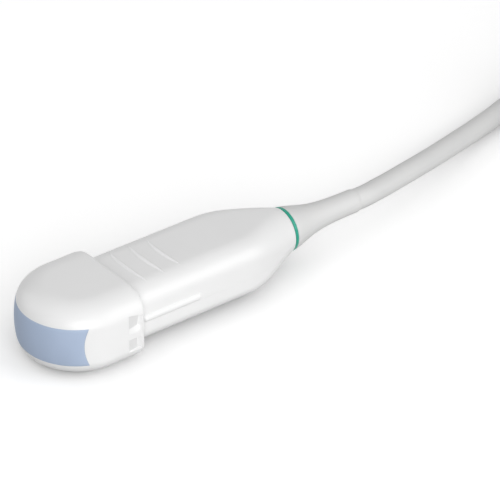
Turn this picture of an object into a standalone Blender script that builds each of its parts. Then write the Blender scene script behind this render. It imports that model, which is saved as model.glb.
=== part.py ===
"""Curved-array ultrasound transducer probe with its cable and system connector.

Metres, +Z up. The probe lies on one broad face: its window faces -Y and the cable leaves along +Y.
Places along the probe are stations, counted along +Y from the centre of the window's arc.
"""
import math

import bmesh
import bpy
from mathutils import Matrix, Vector

MM = 0.001
GAP = 0.3 * MM

# Head: a rounded nosepiece, half round at the front, with a raised rim at the rear
HEAD_STEP = 4.9 * MM
HEAD_SIDE = 13.7 * MM
HEAD_CORNER_X = 11.0 * MM
HEAD_CORNER_Z = 8.0 * MM
HEAD_WALL = 2.2 * MM
HEAD_ROOM = 0.55 * MM
HEAD_REAR_WALL = 2.0 * MM
HEAD_RIM_RADIUS = 1.4 * MM

# Window and the lens that fills it
WINDOW_HEIGHT = 15.6 * MM
WINDOW_HALF_ANGLE = math.radians(65.8)
WINDOW_END_DIP = math.radians(4.8)
LENS_CROWN = 0.75 * MM
LENS_THICKNESS = 2.0 * MM

# Recesses for a needle guide bracket, one pair on each side of the head
RECESS_DEPTH = 1.4 * MM
RECESS_FRONT = 7.0 * MM
RECESS_REAR_NEAR = 10.2 * MM
RECESS_REAR_FAR = 11.4 * MM
RECESS_RAMP_END = 12.4 * MM
RECESS_LOW = 2.3 * MM
RECESS_HIGH = 7.7 * MM

# Acoustic stack behind the lens
STACK_HALF_ANGLE = math.radians(56.0)
STACK_HALF_HEIGHT = 6.9 * MM
MATCHING_THICKNESS = 0.6 * MM
PIEZO_THICKNESS = 0.8 * MM
PIEZO_ELEMENTS = 32
KERF_ANGLE = math.radians(0.9)
KERF_DEPTH = 0.45 * MM
BACKING_HALF_HEIGHT = 6.6 * MM
BACKING_SHOULDER_SETBACK = 0.3 * MM
BACKING_STEM_HALF_WIDTH = 9.0 * MM
BACKING_STEM_END = 2.0 * MM
FRAME_DEPTH = 5.5 * MM
FLEX_THICKNESS = 0.4 * MM
FLEX_HALF_WIDTH = 8.6 * MM
FLEX_SETBACK = 1.3 * MM

# Handle: a rounded tube in two shells that narrows to a round neck
HANDLE_WIDTH = 34.8 * MM
HANDLE_THICKNESS = 23.5 * MM
HANDLE_CORNER_X = 8.5 * MM
HANDLE_CORNER_Z = 6.6 * MM
HANDLE_WALL = 2.0 * MM
HANDLE_INSERTION = 5.0 * MM
TAPER_START = 65.5 * MM
NECK_STATION = 93.6 * MM
NECK_RADIUS = 8.8 * MM
NECK_SLOPE = -0.36
BELLY_DROP = 0.3 * MM
BELLY_START = 60.0 * MM

# Side ribs just above the parting line and crescent ridges on both broad faces
PARTING_DROP = 1.7 * MM
RIB_FRONT = 16.6 * MM
RIB_LENGTH = 26.4 * MM
RIB_RADIUS = 1.55 * MM
RIB_PROUD = 1.0 * MM
CRESCENT_COUNT = 4
CRESCENT_FIRST = 15.0 * MM
CRESCENT_PITCH = 7.75 * MM
CRESCENT_FIRST_HALF_LENGTH = 12.4 * MM
CRESCENT_SHORTENING = 1.0 * MM
CRESCENT_BOW = 1.0 * MM
CRESCENT_HALF_WIDTH = 0.75 * MM
CRESCENT_HEIGHT = 0.5 * MM
CRESCENT_SINK = 0.7 * MM

# Chassis and electronics in the handle
CHASSIS_HALF_THICKNESS = 1.0 * MM
CHASSIS_FRONT = 13.0 * MM
CHASSIS_REAR = 58.0 * MM
CHASSIS_PAD_HEIGHT = 1.7 * MM
CHASSIS_PAD_LENGTH = 3.0 * MM
CHASSIS_PAD_MARGIN = 3.0 * MM
BOARD_HALF_WIDTH = 12.0 * MM
BOARD_THICKNESS = 1.2 * MM
BOARD_MARGIN = 0.8 * MM
FLEX_CONNECTOR_LENGTH = 5.0 * MM
COMB_LENGTH = 6.0 * MM
COMB_HEIGHT = 1.8 * MM
SHIELD_HALF_WIDTH = 10.0 * MM
SHIELD_HEIGHT = 3.7 * MM
SHIELD_WALL = 0.4 * MM
SHIELD_CLEARANCE = 3.0 * MM

# Cable, neck ring, seals and the flared strain relief
CABLE_DIAMETER = 8.5 * MM
CORE_RADIUS = 3.4 * MM
BUNDLE_HALF_WIDTH = 10.0 * MM
BUNDLE_HALF_HEIGHT = 4.6 * MM
BUNDLE_STRAIGHT = 1.5 * MM
FERRULE_LENGTH = 5.9 * MM
FERRULE_RADIUS = 5.6 * MM
FERRULE_FLANGE = 1.3 * MM
RING_WIDTH = 1.24 * MM
RING_DROP = 0.1 * MM
SPIGOT_RADIUS = NECK_RADIUS - HANDLE_WALL - GAP
SEAL_RADIUS = 0.5 * MM
SEAL_SETBACK = 1.3 * MM
SPIGOT_LENGTH = 2.9 * MM
BOOT_DROP = 0.1 * MM
BOOT_TIP_RADIUS = 4.6 * MM
BOOT_LENGTH = 33.9 * MM
BOOT_FLARE = 10.4 * MM
BOOT_FLARE_POWER = 1.5
BOOT_TIP_ROUND = 0.5 * MM
NOSE_SEAL_THICKNESS = 1.8 * MM

# Stored cable: a long coil in line with the probe, two straight runs and two round folds, with two ties
COIL_RUN = 68.0 * MM
COIL_MEAN_RADIUS = 25.5 * MM
COIL_TURNS_WIDE = 2
COIL_TURNS_HIGH = 3
COIL_EXIT_TURN = 2
COIL_CORNER = 3.0 * MM
TIE_THICKNESS = 1.0 * MM
TIE_HALF_WIDTH = 7.0 * MM
TAIL_ANGLE = math.radians(27.0)

# Cable routes in millimetres. The lead: across, beyond the boot's tip, and fall as a part of the
# height between the probe's axis and a cable that lies on the floor. The tail: across and along.
LEAD_ROUTE = (
    (0.0, 0.0, 0.0), (-0.4, 4.0, 0.02), (-1.4, 8.5, 0.055), (-2.5, 13.4, 0.1), (-5.2, 23.4, 0.2),
    (-8.3, 33.9, 0.325), (-11.8, 44.8, 0.47), (-15.6, 56.1, 0.615), (-19.6, 67.6, 0.76), (-23.4, 79.0, 0.875),
    (-26.9, 90.1, 0.93), (-30.0, 101.6, 0.895), (-31.5, 109.3, 0.895), (-32.0, 117.1, 0.895),
    (-32.0, 120.5, 0.895),
)
TAIL_ROUTE = ((0.0, 0.0), (2.04, 4.93), (3.29, 10.12), (3.71, 15.44), (3.75, 19.0))

# System connector: a box with a mating frame below and a quarter-turn lock handle on top
PLUG_HALF_LENGTH = 31.0 * MM
PLUG_HALF_WIDTH = 21.0 * MM
PLUG_CORNER = 7.0 * MM
PLUG_WALL = 2.0 * MM
PLUG_BOTTOM = 5.5 * MM
PLUG_TOP = 27.0 * MM
PLUG_TOP_ROUND = 3.0 * MM
PLUG_BOTTOM_ROUND = 1.5 * MM
LOCK_OFFSET = -2.0 * MM
MATING_HALF_LENGTH = 19.0 * MM
MATING_HALF_WIDTH = 12.0 * MM
MATING_WALL = 1.4 * MM
MATING_CORNER = 2.5 * MM
MATING_FLANGE = 1.2 * MM
MATING_FLANGE_THICKNESS = 1.2 * MM
CONTACT_FACE = 5.5 * MM
CONTACT_CAP_THICKNESS = 2.2 * MM
CONTACT_ROWS = 3
CONTACT_COLUMNS = 5
CONTACT_PITCH = 3.2 * MM
CONTACT_SIZE = 1.3 * MM
CONTACT_DEPTH = 2.0 * MM
CONTACT_GROUP_OFFSET = 12.2 * MM
PLUG_BOARD_THICKNESS = 1.6 * MM
SHAFT_RADIUS = 3.0 * MM
SHAFT_BOTTOM = 2.0 * MM
SHAFT_ENGAGEMENT = 5.4 * MM
LUG_HALF_LENGTH = 7.0 * MM
LUG_HALF_WIDTH = 1.75 * MM
LUG_HEIGHT = 2.5 * MM
BUSHING_RADIUS = 4.7 * MM
BUSHING_FLANGE_RADIUS = 6.5 * MM
BUSHING_FLANGE = 2.2 * MM
CLIP_THICKNESS = 1.2 * MM
CLIP_RADIUS = 5.0 * MM
CLIP_GROOVE_DEPTH = 0.6 * MM
CLIP_OPENING = math.radians(50.0)
KNOB_RADIUS = 13.0 * MM
KNOB_THICKNESS = 4.0 * MM
KNOB_BAR_HALF_LENGTH = 16.5 * MM
KNOB_BAR_HALF_WIDTH = 3.6 * MM
KNOB_BAR_TOP = 38.0 * MM
SCREW_INSET = 5.0 * MM
SCREW_HEAD_RADIUS = 2.4 * MM
SCREW_HEAD_HEIGHT = 1.8 * MM
SCREW_SHANK_RADIUS = 1.2 * MM
SCREW_SINK = 0.5 * MM
SCREW_SLOT_WIDTH = 0.7 * MM
SCREW_SLOT_DEPTH = 0.8 * MM
SCREW_END = 10.5 * MM
POST_RADIUS = 3.0 * MM
RELIEF_NECK_RADIUS = 5.2 * MM
RELIEF_FLANGE_RADIUS = 7.2 * MM
RELIEF_FLANGE = 2.4 * MM
RELIEF_LENGTH = 24.0 * MM
RELIEF_BASE_RADIUS = 6.2 * MM
RELIEF_TIP_RADIUS = 4.9 * MM
RELIEF_RINGS = 5
RELIEF_RING_DEPTH = 0.7 * MM
CLAMP_HALF_WIDTH = 8.0 * MM
CLAMP_LENGTH = 4.6 * MM
CLAMP_TOP = 20.0 * MM

# Facets of curved surfaces
FRONT_STEPS = 32
CORNER_STEPS = 5
ROUND_STEPS = 24
SMALL_ROUND_STEPS = 12
FOLD_STEPS = 20

# Places that follow from the sizes above
HEAD_WIDTH = HANDLE_WIDTH + 2 * HEAD_STEP
HEAD_THICKNESS = HANDLE_THICKNESS + 2 * (HEAD_ROOM + HEAD_WALL)
MID_Z = HEAD_THICKNESS / 2
HEAD_FLAT_X = HEAD_WIDTH / 2 - HEAD_CORNER_X
HEAD_FLAT_Z = HEAD_THICKNESS / 2 - HEAD_CORNER_Z
SEAL_STATION = NECK_STATION - SEAL_SETBACK
FERRULE_START = NECK_STATION - SPIGOT_LENGTH - GAP - FERRULE_LENGTH
BUNDLE_ROUND_STATION = FERRULE_START - BUNDLE_STRAIGHT
BOOT_START = NECK_STATION + RING_WIDTH + GAP
BOOT_END = BOOT_START + BOOT_LENGTH
ARC_Y = (HEAD_WIDTH / 2 + LENS_CROWN - BOOT_END) / 2
HANDLE_START = HEAD_SIDE - HANDLE_INSERTION
HANDLE_END = NECK_STATION - GAP
LENS_INNER = HEAD_WIDTH / 2 - LENS_THICKNESS
MATCHING_OUTER = LENS_INNER - GAP
MATCHING_INNER = MATCHING_OUTER - MATCHING_THICKNESS - GAP
PIEZO_OUTER = MATCHING_INNER - MATCHING_THICKNESS - GAP
BACKING_RADIUS = PIEZO_OUTER - PIEZO_THICKNESS - GAP
BACKING_SHOULDER = BACKING_RADIUS * math.cos(STACK_HALF_ANGLE) - BACKING_SHOULDER_SETBACK
FRAME_FRONT = -(BACKING_SHOULDER - GAP)
FLEX_FRONT = math.sqrt(BACKING_RADIUS ** 2 - FLEX_HALF_WIDTH ** 2) - FLEX_SETBACK
FLEX_LOW = BACKING_HALF_HEIGHT + GAP
BOARD_LOW = CHASSIS_HALF_THICKNESS + CHASSIS_PAD_HEIGHT + GAP
BOARD_HIGH = BOARD_LOW + BOARD_THICKNESS
ON_BOARD = BOARD_HIGH + GAP
COIL_OUTER = COIL_MEAN_RADIUS + COIL_TURNS_WIDE * CABLE_DIAMETER / 2
COIL_INNER = COIL_MEAN_RADIUS - COIL_TURNS_WIDE * CABLE_DIAMETER / 2
COIL_BOTTOM = TIE_THICKNESS + GAP
COIL_TOP = COIL_BOTTOM + COIL_TURNS_HIGH * CABLE_DIAMETER
PLUG_CABLE_HEIGHT = COIL_BOTTOM + (COIL_EXIT_TURN - 0.5) * CABLE_DIAMETER
PLUG_PARTING_LOW = PLUG_CABLE_HEIGHT - GAP / 2
PLUG_PARTING_HIGH = PLUG_CABLE_HEIGHT + GAP / 2
PLUG_FLOOR = PLUG_BOTTOM + PLUG_WALL
PLUG_ROOF = PLUG_TOP - PLUG_WALL
FLANGE_LOW = PLUG_FLOOR + GAP
FLANGE_HIGH = FLANGE_LOW + MATING_FLANGE_THICKNESS
CAP_LOW = FLANGE_HIGH + GAP
CAP_HIGH = CAP_LOW + CONTACT_CAP_THICKNESS
BUSHING_LOW = PLUG_ROOF - GAP - BUSHING_FLANGE
CLIP_HIGH = BUSHING_LOW - GAP
CLIP_LOW = CLIP_HIGH - CLIP_THICKNESS
KNOB_LOW = PLUG_TOP + GAP
KNOB_HIGH = KNOB_LOW + KNOB_THICKNESS


# Tools for building meshes

def clear_scene():
    for item in list(bpy.data.objects):
        bpy.data.objects.remove(item, do_unlink=True)


def plain_material(name, colour, roughness, metallic=0.0):
    surface = bpy.data.materials.new(name)
    surface.use_nodes = True
    shader = surface.node_tree.nodes["Principled BSDF"]
    shader.inputs["Base Color"].default_value = (*colour, 1.0)
    shader.inputs["Roughness"].default_value = roughness
    shader.inputs["Metallic"].default_value = metallic
    return surface


def closed_mesh(bm):
    """Merges doubled points, splits faces that aren't flat and turns every face outwards."""
    bmesh.ops.remove_doubles(bm, verts=bm.verts, dist=1e-7)
    bmesh.ops.dissolve_degenerate(bm, edges=bm.edges, dist=1e-7)
    bmesh.ops.connect_verts_nonplanar(bm, angle_limit=1e-4, faces=bm.faces)
    bmesh.ops.recalc_face_normals(bm, faces=bm.faces)
    return bm


def add_object(name, bm, surface=None, parent=None):
    """Turns a bmesh into a named object with its own material, smooth where its faces meet softly."""
    mesh = bpy.data.meshes.new(name)
    bm.to_mesh(mesh)
    bm.free()
    mesh.shade_smooth()
    mesh.set_sharp_from_angle(angle=math.radians(35))
    if surface is not None:
        mesh.materials.append(surface)
    item = bpy.data.objects.new(name, mesh)
    bpy.context.scene.collection.objects.link(item)
    item.parent = parent
    return item


def add_cutter(name, bm, parent=None):
    """An object that only shapes others."""
    item = add_object(name, bm, parent=parent)
    item.hide_render = True
    item.display_type = 'WIRE'
    return item


def combine(item, other, operation):
    change = item.modifiers.new(other.name, 'BOOLEAN')
    change.operation = operation
    change.object = other
    change.solver = 'EXACT'


def loft(loops):
    """A solid through closed loops of points that all have the same count."""
    bm = bmesh.new()
    rows = [[bm.verts.new(point) for point in loop] for loop in loops]
    for lower, upper in zip(rows, rows[1:]):
        for i in range(len(lower)):
            bm.faces.new((lower[i - 1], lower[i], upper[i], upper[i - 1]))
    bm.faces.new(rows[0])
    bm.faces.new(rows[-1])
    return closed_mesh(bm)


def sleeve(outer_loops, inner_loops):
    """A tube with a wall: outer and inner loops in step, joined at both ends."""
    bm = bmesh.new()
    outer = [[bm.verts.new(point) for point in loop] for loop in outer_loops]
    inner = [[bm.verts.new(point) for point in loop] for loop in inner_loops]
    for rows in (outer, inner):
        for lower, upper in zip(rows, rows[1:]):
            for i in range(len(lower)):
                bm.faces.new((lower[i - 1], lower[i], upper[i], upper[i - 1]))
    for end in (0, -1):
        for i in range(len(outer[end])):
            bm.faces.new((outer[end][i - 1], outer[end][i], inner[end][i], inner[end][i - 1]))
    return closed_mesh(bm)


def prism(outline, low, high, axis='Z'):
    """Extrudes a flat outline along an axis. The outline's two values are the other axes in order."""
    def place(point, level):
        first, second = point
        return {'X': (level, first, second), 'Y': (first, level, second), 'Z': (first, second, level)}[axis]
    return loft([[place(point, level) for point in outline] for level in (low, high)])


def box(low, high):
    corners = [(low[0], low[1]), (high[0], low[1]), (high[0], high[1]), (low[0], high[1])]
    return prism(corners, low[2], high[2])


def turned(profile, steps, placement=Matrix.Identity(4)):
    """Turns a closed profile of (radius, height) about the local Z axis."""
    bm = bmesh.new()
    columns = []
    for step in range(steps):
        angle = 2 * math.pi * step / steps
        column = [bm.verts.new((r * math.cos(angle), r * math.sin(angle), h)) for r, h in profile]
        columns.append(column)
    for i in range(steps):
        for j in range(len(profile)):
            corners = (columns[i - 1][j - 1], columns[i][j - 1], columns[i][j], columns[i - 1][j])
            bm.faces.new(corners)
    closed_mesh(bm)
    bmesh.ops.transform(bm, matrix=placement, verts=bm.verts)
    return bm


def along_probe(station, z=None):
    """Placement whose local Z runs along the probe's axis from a station."""
    height = MID_Z if z is None else z
    return Matrix.Translation((0, ARC_Y + station, height)) @ Matrix.Rotation(-math.pi / 2, 4, 'X')


def add_mesh(target, source):
    """Adds the faces of one bmesh to another and frees the source."""
    mesh = bpy.data.meshes.new("joined")
    source.to_mesh(mesh)
    source.free()
    target.from_mesh(mesh)
    bpy.data.meshes.remove(mesh)


def rounded_rectangle(half_x, half_y, radius, steps=CORNER_STEPS):
    points = []
    for quarter, (sx, sy) in enumerate(((1, 1), (-1, 1), (-1, -1), (1, -1))):
        for step in range(steps + 1):
            angle = math.pi / 2 * (quarter + step / steps)
            x = sx * (half_x - radius) + radius * math.cos(angle)
            y = sy * (half_y - radius) + radius * math.sin(angle)
            points.append((x, y))
    return points


def rounded_section(half_width, half_height, flat_x, flat_z, steps=CORNER_STEPS):
    """A section with flat faces and elliptical corners, as (x, z) going round once."""
    points = []
    for sx, sz in ((1, 1), (-1, 1), (-1, -1), (1, -1)):
        arc = []
        for step in range(steps + 1):
            angle = math.pi / 2 * step / steps
            x = flat_x + (half_width - flat_x) * math.cos(angle)
            z = flat_z + (half_height - flat_z) * math.sin(angle)
            arc.append((sx * x, sz * z))
        if sx * sz < 0:
            arc.reverse()
        points.extend(arc)
    return points


def smooth_points(points, spacing):
    """Evenly spaced points on a smooth curve through the route's points."""
    padded = [2 * points[0] - points[1], *points, 2 * points[-1] - points[-2]]
    dense = []
    samples = 24
    for a, b, c, d in zip(padded, padded[1:], padded[2:], padded[3:]):
        for step in range(samples):
            t = step / samples
            dense.append(0.5 * (2 * b + (c - a) * t + (2 * a - 5 * b + 4 * c - d) * t ** 2
                                + (3 * b - a - 3 * c + d) * t ** 3))
    dense.append(points[-1])
    total = sum((q - p).length for p, q in zip(dense, dense[1:]))
    count = max(2, round(total / spacing))
    even = [dense[0]]
    travelled = 0.0
    for p, q in zip(dense, dense[1:]):
        step = (q - p).length
        while len(even) < count and travelled + step >= total * len(even) / count:
            even.append(p.lerp(q, (total * len(even) / count - travelled) / step))
        travelled += step
    even.append(dense[-1])
    return even


def cable_tube(name, points, surface):
    """A round cable along evenly spaced points, with closed ends."""
    curve = bpy.data.curves.new(name, 'CURVE')
    curve.dimensions = '3D'
    curve.bevel_depth = CABLE_DIAMETER / 2
    curve.bevel_resolution = 3
    curve.use_fill_caps = True
    spline = curve.splines.new('POLY')
    spline.points.add(len(points) - 1)
    for point, place in zip(spline.points, points):
        point.co = (*place, 1.0)
    curve.materials.append(surface)
    item = bpy.data.objects.new(name, curve)
    bpy.context.scene.collection.objects.link(item)
    return item


# Head

def head_profile(inset, steps=CORNER_STEPS):
    """Side of the head from the top flat's edge to the bottom flat's edge, as (reach, height)."""
    reach = HEAD_WIDTH / 2 - inset - HEAD_FLAT_X
    rise = HEAD_THICKNESS / 2 - inset - HEAD_FLAT_Z
    angles = [math.pi / 2 * (1 - step / steps) for step in range(steps + 1)]
    upper = [(HEAD_FLAT_X + reach * math.cos(a), HEAD_FLAT_Z + rise * math.sin(a)) for a in angles]
    lower = [(r, -h) for r, h in reversed(upper)]
    return upper + lower


def head_solid(inset, rear, rim_radius=0.0, steps=CORNER_STEPS, front_steps=FRONT_STEPS):
    """The head's outer form, or with an inset the form of its cavity, from the front to a rear station."""
    bm = bmesh.new()
    profile = head_profile(inset, steps)

    def column(points, sign, station, angle=None):
        if angle is None:
            return [bm.verts.new((sign * r, ARC_Y + station, MID_Z + h)) for r, h in points]
        across, forward = math.cos(angle), math.sin(angle)
        return [bm.verts.new((r * across, ARC_Y + r * forward, MID_Z + h)) for r, h in points]

    straight_end = rear - rim_radius
    front = [column(profile, 1, straight_end)]
    front += [column(profile, 1, 0, -math.pi * step / front_steps) for step in range(front_steps + 1)]
    front.append(column(profile, -1, straight_end))
    for left, right in zip(front, front[1:]):
        for i in range(len(profile) - 1):
            bm.faces.new((left[i], left[i + 1], right[i + 1], right[i]))
    bm.faces.new([one[0] for one in front])
    bm.faces.new([one[-1] for one in front])
    loop = front[0] + front[-1][::-1]
    rim_steps = 3 if rim_radius else 0
    for step in range(1, rim_steps + 1):
        angle = math.pi / 2 * step / rim_steps
        points = head_profile(inset + rim_radius * (1 - math.cos(angle)), steps)
        station = straight_end + rim_radius * math.sin(angle)
        following = column(points, 1, station) + column(points, -1, station)[::-1]
        for i in range(len(loop)):
            bm.faces.new((loop[i - 1], loop[i], following[i], following[i - 1]))
        loop = following
    bm.faces.new(loop)
    return closed_mesh(bm)


def head_reach(height):
    """How far the head's side stands from its axis at a height above the mid-plane."""
    beyond = max(0.0, abs(height) - HEAD_FLAT_Z) / (HEAD_THICKNESS / 2 - HEAD_FLAT_Z)
    return HEAD_FLAT_X + (HEAD_WIDTH / 2 - HEAD_FLAT_X) * math.sqrt(max(0.0, 1 - beyond ** 2))


def window_patch(inner_radius, outer_radius, grow, along=28, across=4):
    """The window's curved block. Its two ends dip towards the middle of the window at mid-height."""
    half_height = WINDOW_HEIGHT / 2 + grow
    rows = []
    for i in range(along + 1):
        s = 2 * i / along - 1
        front, back = [], []
        for j in range(across + 1):
            t = 2 * j / across - 1
            end = WINDOW_HALF_ANGLE - WINDOW_END_DIP * (1 - t * t) + grow / (HEAD_WIDTH / 2)
            angle = s * end
            height = t * half_height
            for radius, side in ((outer_radius(s, height), front), (inner_radius, back)):
                side.append((radius * math.sin(angle), ARC_Y - radius * math.cos(angle), MID_Z + height))
        rows.append(front + back[::-1])
    return loft(rows)


def lens_radius(s, height):
    """Flush with the head along the window's edge and crowned in its middle."""
    t = height / (WINDOW_HEIGHT / 2)
    return head_reach(height) + LENS_CROWN * (1 - t * t) * (1 - s ** 8)


def recess_cutter(side, level):
    """A pocket with a trapezoid floor and a ramp that rises to the rim. Side and level are 1 or -1."""
    half_width = HEAD_WIDTH / 2
    floor = half_width - RECESS_DEPTH
    beyond = half_width + RECESS_DEPTH
    slope = (RECESS_RAMP_END - RECESS_REAR_FAR) / RECESS_DEPTH

    def rectangle(x, extra):
        near = (RECESS_REAR_NEAR + extra, RECESS_LOW)
        far = (RECESS_REAR_FAR + extra, RECESS_HIGH)
        corners = ((RECESS_FRONT, RECESS_LOW), near, far, (RECESS_FRONT, RECESS_HIGH))
        return [(side * x, ARC_Y + y, MID_Z + level * z) for y, z in corners]

    return loft([rectangle(floor, 0.0), rectangle(beyond, slope * (beyond - floor))])


def build_head(finish):
    shell = add_object("head_shell", head_solid(0.0, HEAD_SIDE, HEAD_RIM_RADIUS), finish)
    hollow = head_solid(HEAD_WALL, HEAD_SIDE - HEAD_REAR_WALL, steps=4, front_steps=FRONT_STEPS // 2)
    cavity = add_cutter("cutter_head_cavity", hollow)
    combine(shell, cavity, 'DIFFERENCE')
    beyond = HEAD_WIDTH / 2 + 3 * LENS_CROWN
    inside = HEAD_WIDTH / 2 - 2 * HEAD_WALL
    window = window_patch(inside, lambda s, height: beyond, GAP)
    combine(shell, add_cutter("cutter_window", window), 'DIFFERENCE')
    mouth = handle_tube_solid(HEAD_SIDE - 2 * HEAD_REAR_WALL, HEAD_SIDE + HEAD_REAR_WALL, -GAP)
    combine(shell, add_cutter("cutter_head_mouth", mouth), 'DIFFERENCE')
    pockets = bmesh.new()
    for side in (1, -1):
        for level in (1, -1):
            add_mesh(pockets, recess_cutter(side, level))
    combine(shell, add_cutter("cutter_bracket_recesses", pockets), 'DIFFERENCE')


def build_lens(finish):
    add_object("acoustic_lens", window_patch(LENS_INNER, lens_radius, 0.0), finish)


# Acoustic stack

def arc_points(radius, half_angle, steps):
    """Points on an arc about the window's centre, from -X to +X."""
    angles = [half_angle * (2 * step / steps - 1) for step in range(steps + 1)]
    return [(radius * math.sin(a), ARC_Y - radius * math.cos(a)) for a in angles]


def curved_layer(outer_radius, thickness, half_height):
    outline = arc_points(outer_radius, STACK_HALF_ANGLE, FRONT_STEPS // 2)
    outline += arc_points(outer_radius - thickness, STACK_HALF_ANGLE, FRONT_STEPS // 2)[::-1]
    return prism(outline, MID_Z - half_height, MID_Z + half_height)


def build_matching_layers(outer_finish, inner_finish):
    outer = curved_layer(MATCHING_OUTER, MATCHING_THICKNESS, STACK_HALF_HEIGHT)
    add_object("matching_layer_outer", outer, outer_finish)
    inner = curved_layer(MATCHING_INNER, MATCHING_THICKNESS, STACK_HALF_HEIGHT)
    add_object("matching_layer_inner", inner, inner_finish)


def build_piezo_array(finish):
    """A curved bar whose face is diced into elements by narrow kerfs."""
    pitch = 2 * STACK_HALF_ANGLE / PIEZO_ELEMENTS
    outline = []
    for element in range(PIEZO_ELEMENTS):
        start = -STACK_HALF_ANGLE + element * pitch
        first = start + (KERF_ANGLE / 2 if element else 0.0)
        last = start + pitch - (KERF_ANGLE / 2 if element < PIEZO_ELEMENTS - 1 else 0.0)
        for angle, depth in ((first, KERF_DEPTH), (first, 0.0), (last, 0.0), (last, KERF_DEPTH)):
            radius = PIEZO_OUTER - depth
            outline.append((radius * math.sin(angle), ARC_Y - radius * math.cos(angle)))
    outline += arc_points(PIEZO_OUTER - PIEZO_THICKNESS, STACK_HALF_ANGLE, FRONT_STEPS // 2)[::-1]
    add_object("piezo_array", prism(outline, MID_Z - STACK_HALF_HEIGHT, MID_Z + STACK_HALF_HEIGHT), finish)


def build_backing(finish):
    """A block behind the array: a curved face, shoulders that rest on the frame, and a stem through it."""
    outline = arc_points(BACKING_RADIUS, STACK_HALF_ANGLE, FRONT_STEPS // 2)
    edge = BACKING_RADIUS * math.sin(STACK_HALF_ANGLE)
    shoulder = ARC_Y - BACKING_SHOULDER
    stem_end = ARC_Y - BACKING_STEM_END
    outline += [(edge, shoulder), (BACKING_STEM_HALF_WIDTH, shoulder), (BACKING_STEM_HALF_WIDTH, stem_end)]
    outline += [(-BACKING_STEM_HALF_WIDTH, stem_end), (-BACKING_STEM_HALF_WIDTH, shoulder), (-edge, shoulder)]
    block = prism(outline, MID_Z - BACKING_HALF_HEIGHT, MID_Z + BACKING_HALF_HEIGHT)
    add_object("backing_block", block, finish)


def build_array_frame(finish):
    """A plate that fills the head's cavity behind the backing and leaves a hole for its stem and flexes."""
    body = head_solid(HEAD_WALL + GAP, HEAD_SIDE / 2, steps=4, front_steps=FRONT_STEPS // 2)
    frame = add_object("array_frame", body, finish)
    reach = HEAD_WIDTH
    front = ARC_Y + FRAME_FRONT
    slab = box((-reach, front, -reach), (reach, front + FRAME_DEPTH, reach))
    combine(frame, add_cutter("cutter_frame_slab", slab), 'INTERSECT')
    half_x = BACKING_STEM_HALF_WIDTH + GAP
    half_z = FLEX_LOW + FLEX_THICKNESS + GAP
    rear = front + 2 * FRAME_DEPTH
    hole = box((-half_x, front - FRAME_DEPTH, MID_Z - half_z), (half_x, rear, MID_Z + half_z))
    combine(frame, add_cutter("cutter_frame_hole", hole), 'DIFFERENCE')


def build_flex_circuits(finish):
    """Flat flexes from the array's long edges over the backing to the boards."""
    rear = CHASSIS_FRONT + BOARD_MARGIN + FLEX_CONNECTOR_LENGTH
    for name, level in (("flex_circuit_upper", 1), ("flex_circuit_lower", -1)):
        near, far = sorted((MID_Z + level * FLEX_LOW, MID_Z + level * (FLEX_LOW + FLEX_THICKNESS)))
        low = (-FLEX_HALF_WIDTH, ARC_Y - FLEX_FRONT, near)
        high = (FLEX_HALF_WIDTH, ARC_Y + rear, far)
        add_object(name, box(low, high), finish)


# Handle

def handle_loop(station, inset=0.0, steps=CORNER_STEPS):
    """Section of the handle at a station: rounded rectangle along the grip, round at the neck."""
    length = NECK_STATION - TAPER_START
    u = min(max((station - TAPER_START) / length, 0.0), 1.0)
    fade = 1 - 3 * u ** 2 + 2 * u ** 3
    arrive = (u ** 3 - u ** 2) * length * NECK_SLOPE
    half_width = HANDLE_WIDTH / 2 * fade + NECK_RADIUS * (1 - fade) + arrive
    half_height = HANDLE_THICKNESS / 2 * fade + NECK_RADIUS * (1 - fade) + arrive
    flat_x = (HANDLE_WIDTH / 2 - HANDLE_CORNER_X) * fade
    flat_z = (HANDLE_THICKNESS / 2 - HANDLE_CORNER_Z) * fade
    v = min(max((station - BELLY_START) / (NECK_STATION - BELLY_START), 0.0), 1.0)
    centre = MID_Z - BELLY_DROP * math.sin(math.pi * v) ** 2
    points = rounded_section(half_width - inset, half_height - inset, flat_x, flat_z, steps)
    return [(x, ARC_Y + station, centre + z) for x, z in points]


def handle_tube_solid(start, end, inset):
    return loft([handle_loop(start, inset), handle_loop(end, inset)])


def crescent(station, half_length, level):
    """A raised ridge, bowed towards the head, thickest in its middle. Level 1 is the upper face."""
    loops = []
    count = 8
    flat_x = HANDLE_WIDTH / 2 - HANDLE_CORNER_X
    flat_z = HANDLE_THICKNESS / 2 - HANDLE_CORNER_Z
    for step in range(count + 1):
        x = half_length * (2 * step / count - 1) * 0.98
        swell = 1 - (x / half_length) ** 2
        beyond = max(0.0, abs(x) - flat_x) / HANDLE_CORNER_X
        surface = flat_z + HANDLE_CORNER_Z * math.sqrt(1 - beyond ** 2)
        y = ARC_Y + station + CRESCENT_BOW * (1 - swell)
        half = CRESCENT_HALF_WIDTH * swell
        crest = surface + CRESCENT_HEIGHT * math.sqrt(swell)
        root = surface - CRESCENT_SINK
        side = [(half, root), (half, surface), (half / 3, crest)]
        section = side + [(-across, height) for across, height in reversed(side)]
        loops.append([(x, y + across, MID_Z + level * height) for across, height in section])
    return loft(loops)


def side_rib(side):
    """A half-round bar with round ends, sunk into the handle's side."""
    half = RIB_LENGTH / 2 - RIB_RADIUS
    steps = 4
    profile = []
    for step in range(steps + 1):
        angle = math.pi / 2 * step / steps
        profile.append((RIB_RADIUS * math.cos(angle), half + RIB_RADIUS * math.sin(angle)))
    profile += [(r, -h) for r, h in reversed(profile)]
    x = side * (HANDLE_WIDTH / 2 + RIB_PROUD - RIB_RADIUS)
    centre = ARC_Y + RIB_FRONT + RIB_LENGTH / 2
    placement = Matrix.Translation((x, centre, MID_Z)) @ Matrix.Rotation(-math.pi / 2, 4, 'X')
    return turned(profile, SMALL_ROUND_STEPS, placement)


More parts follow.
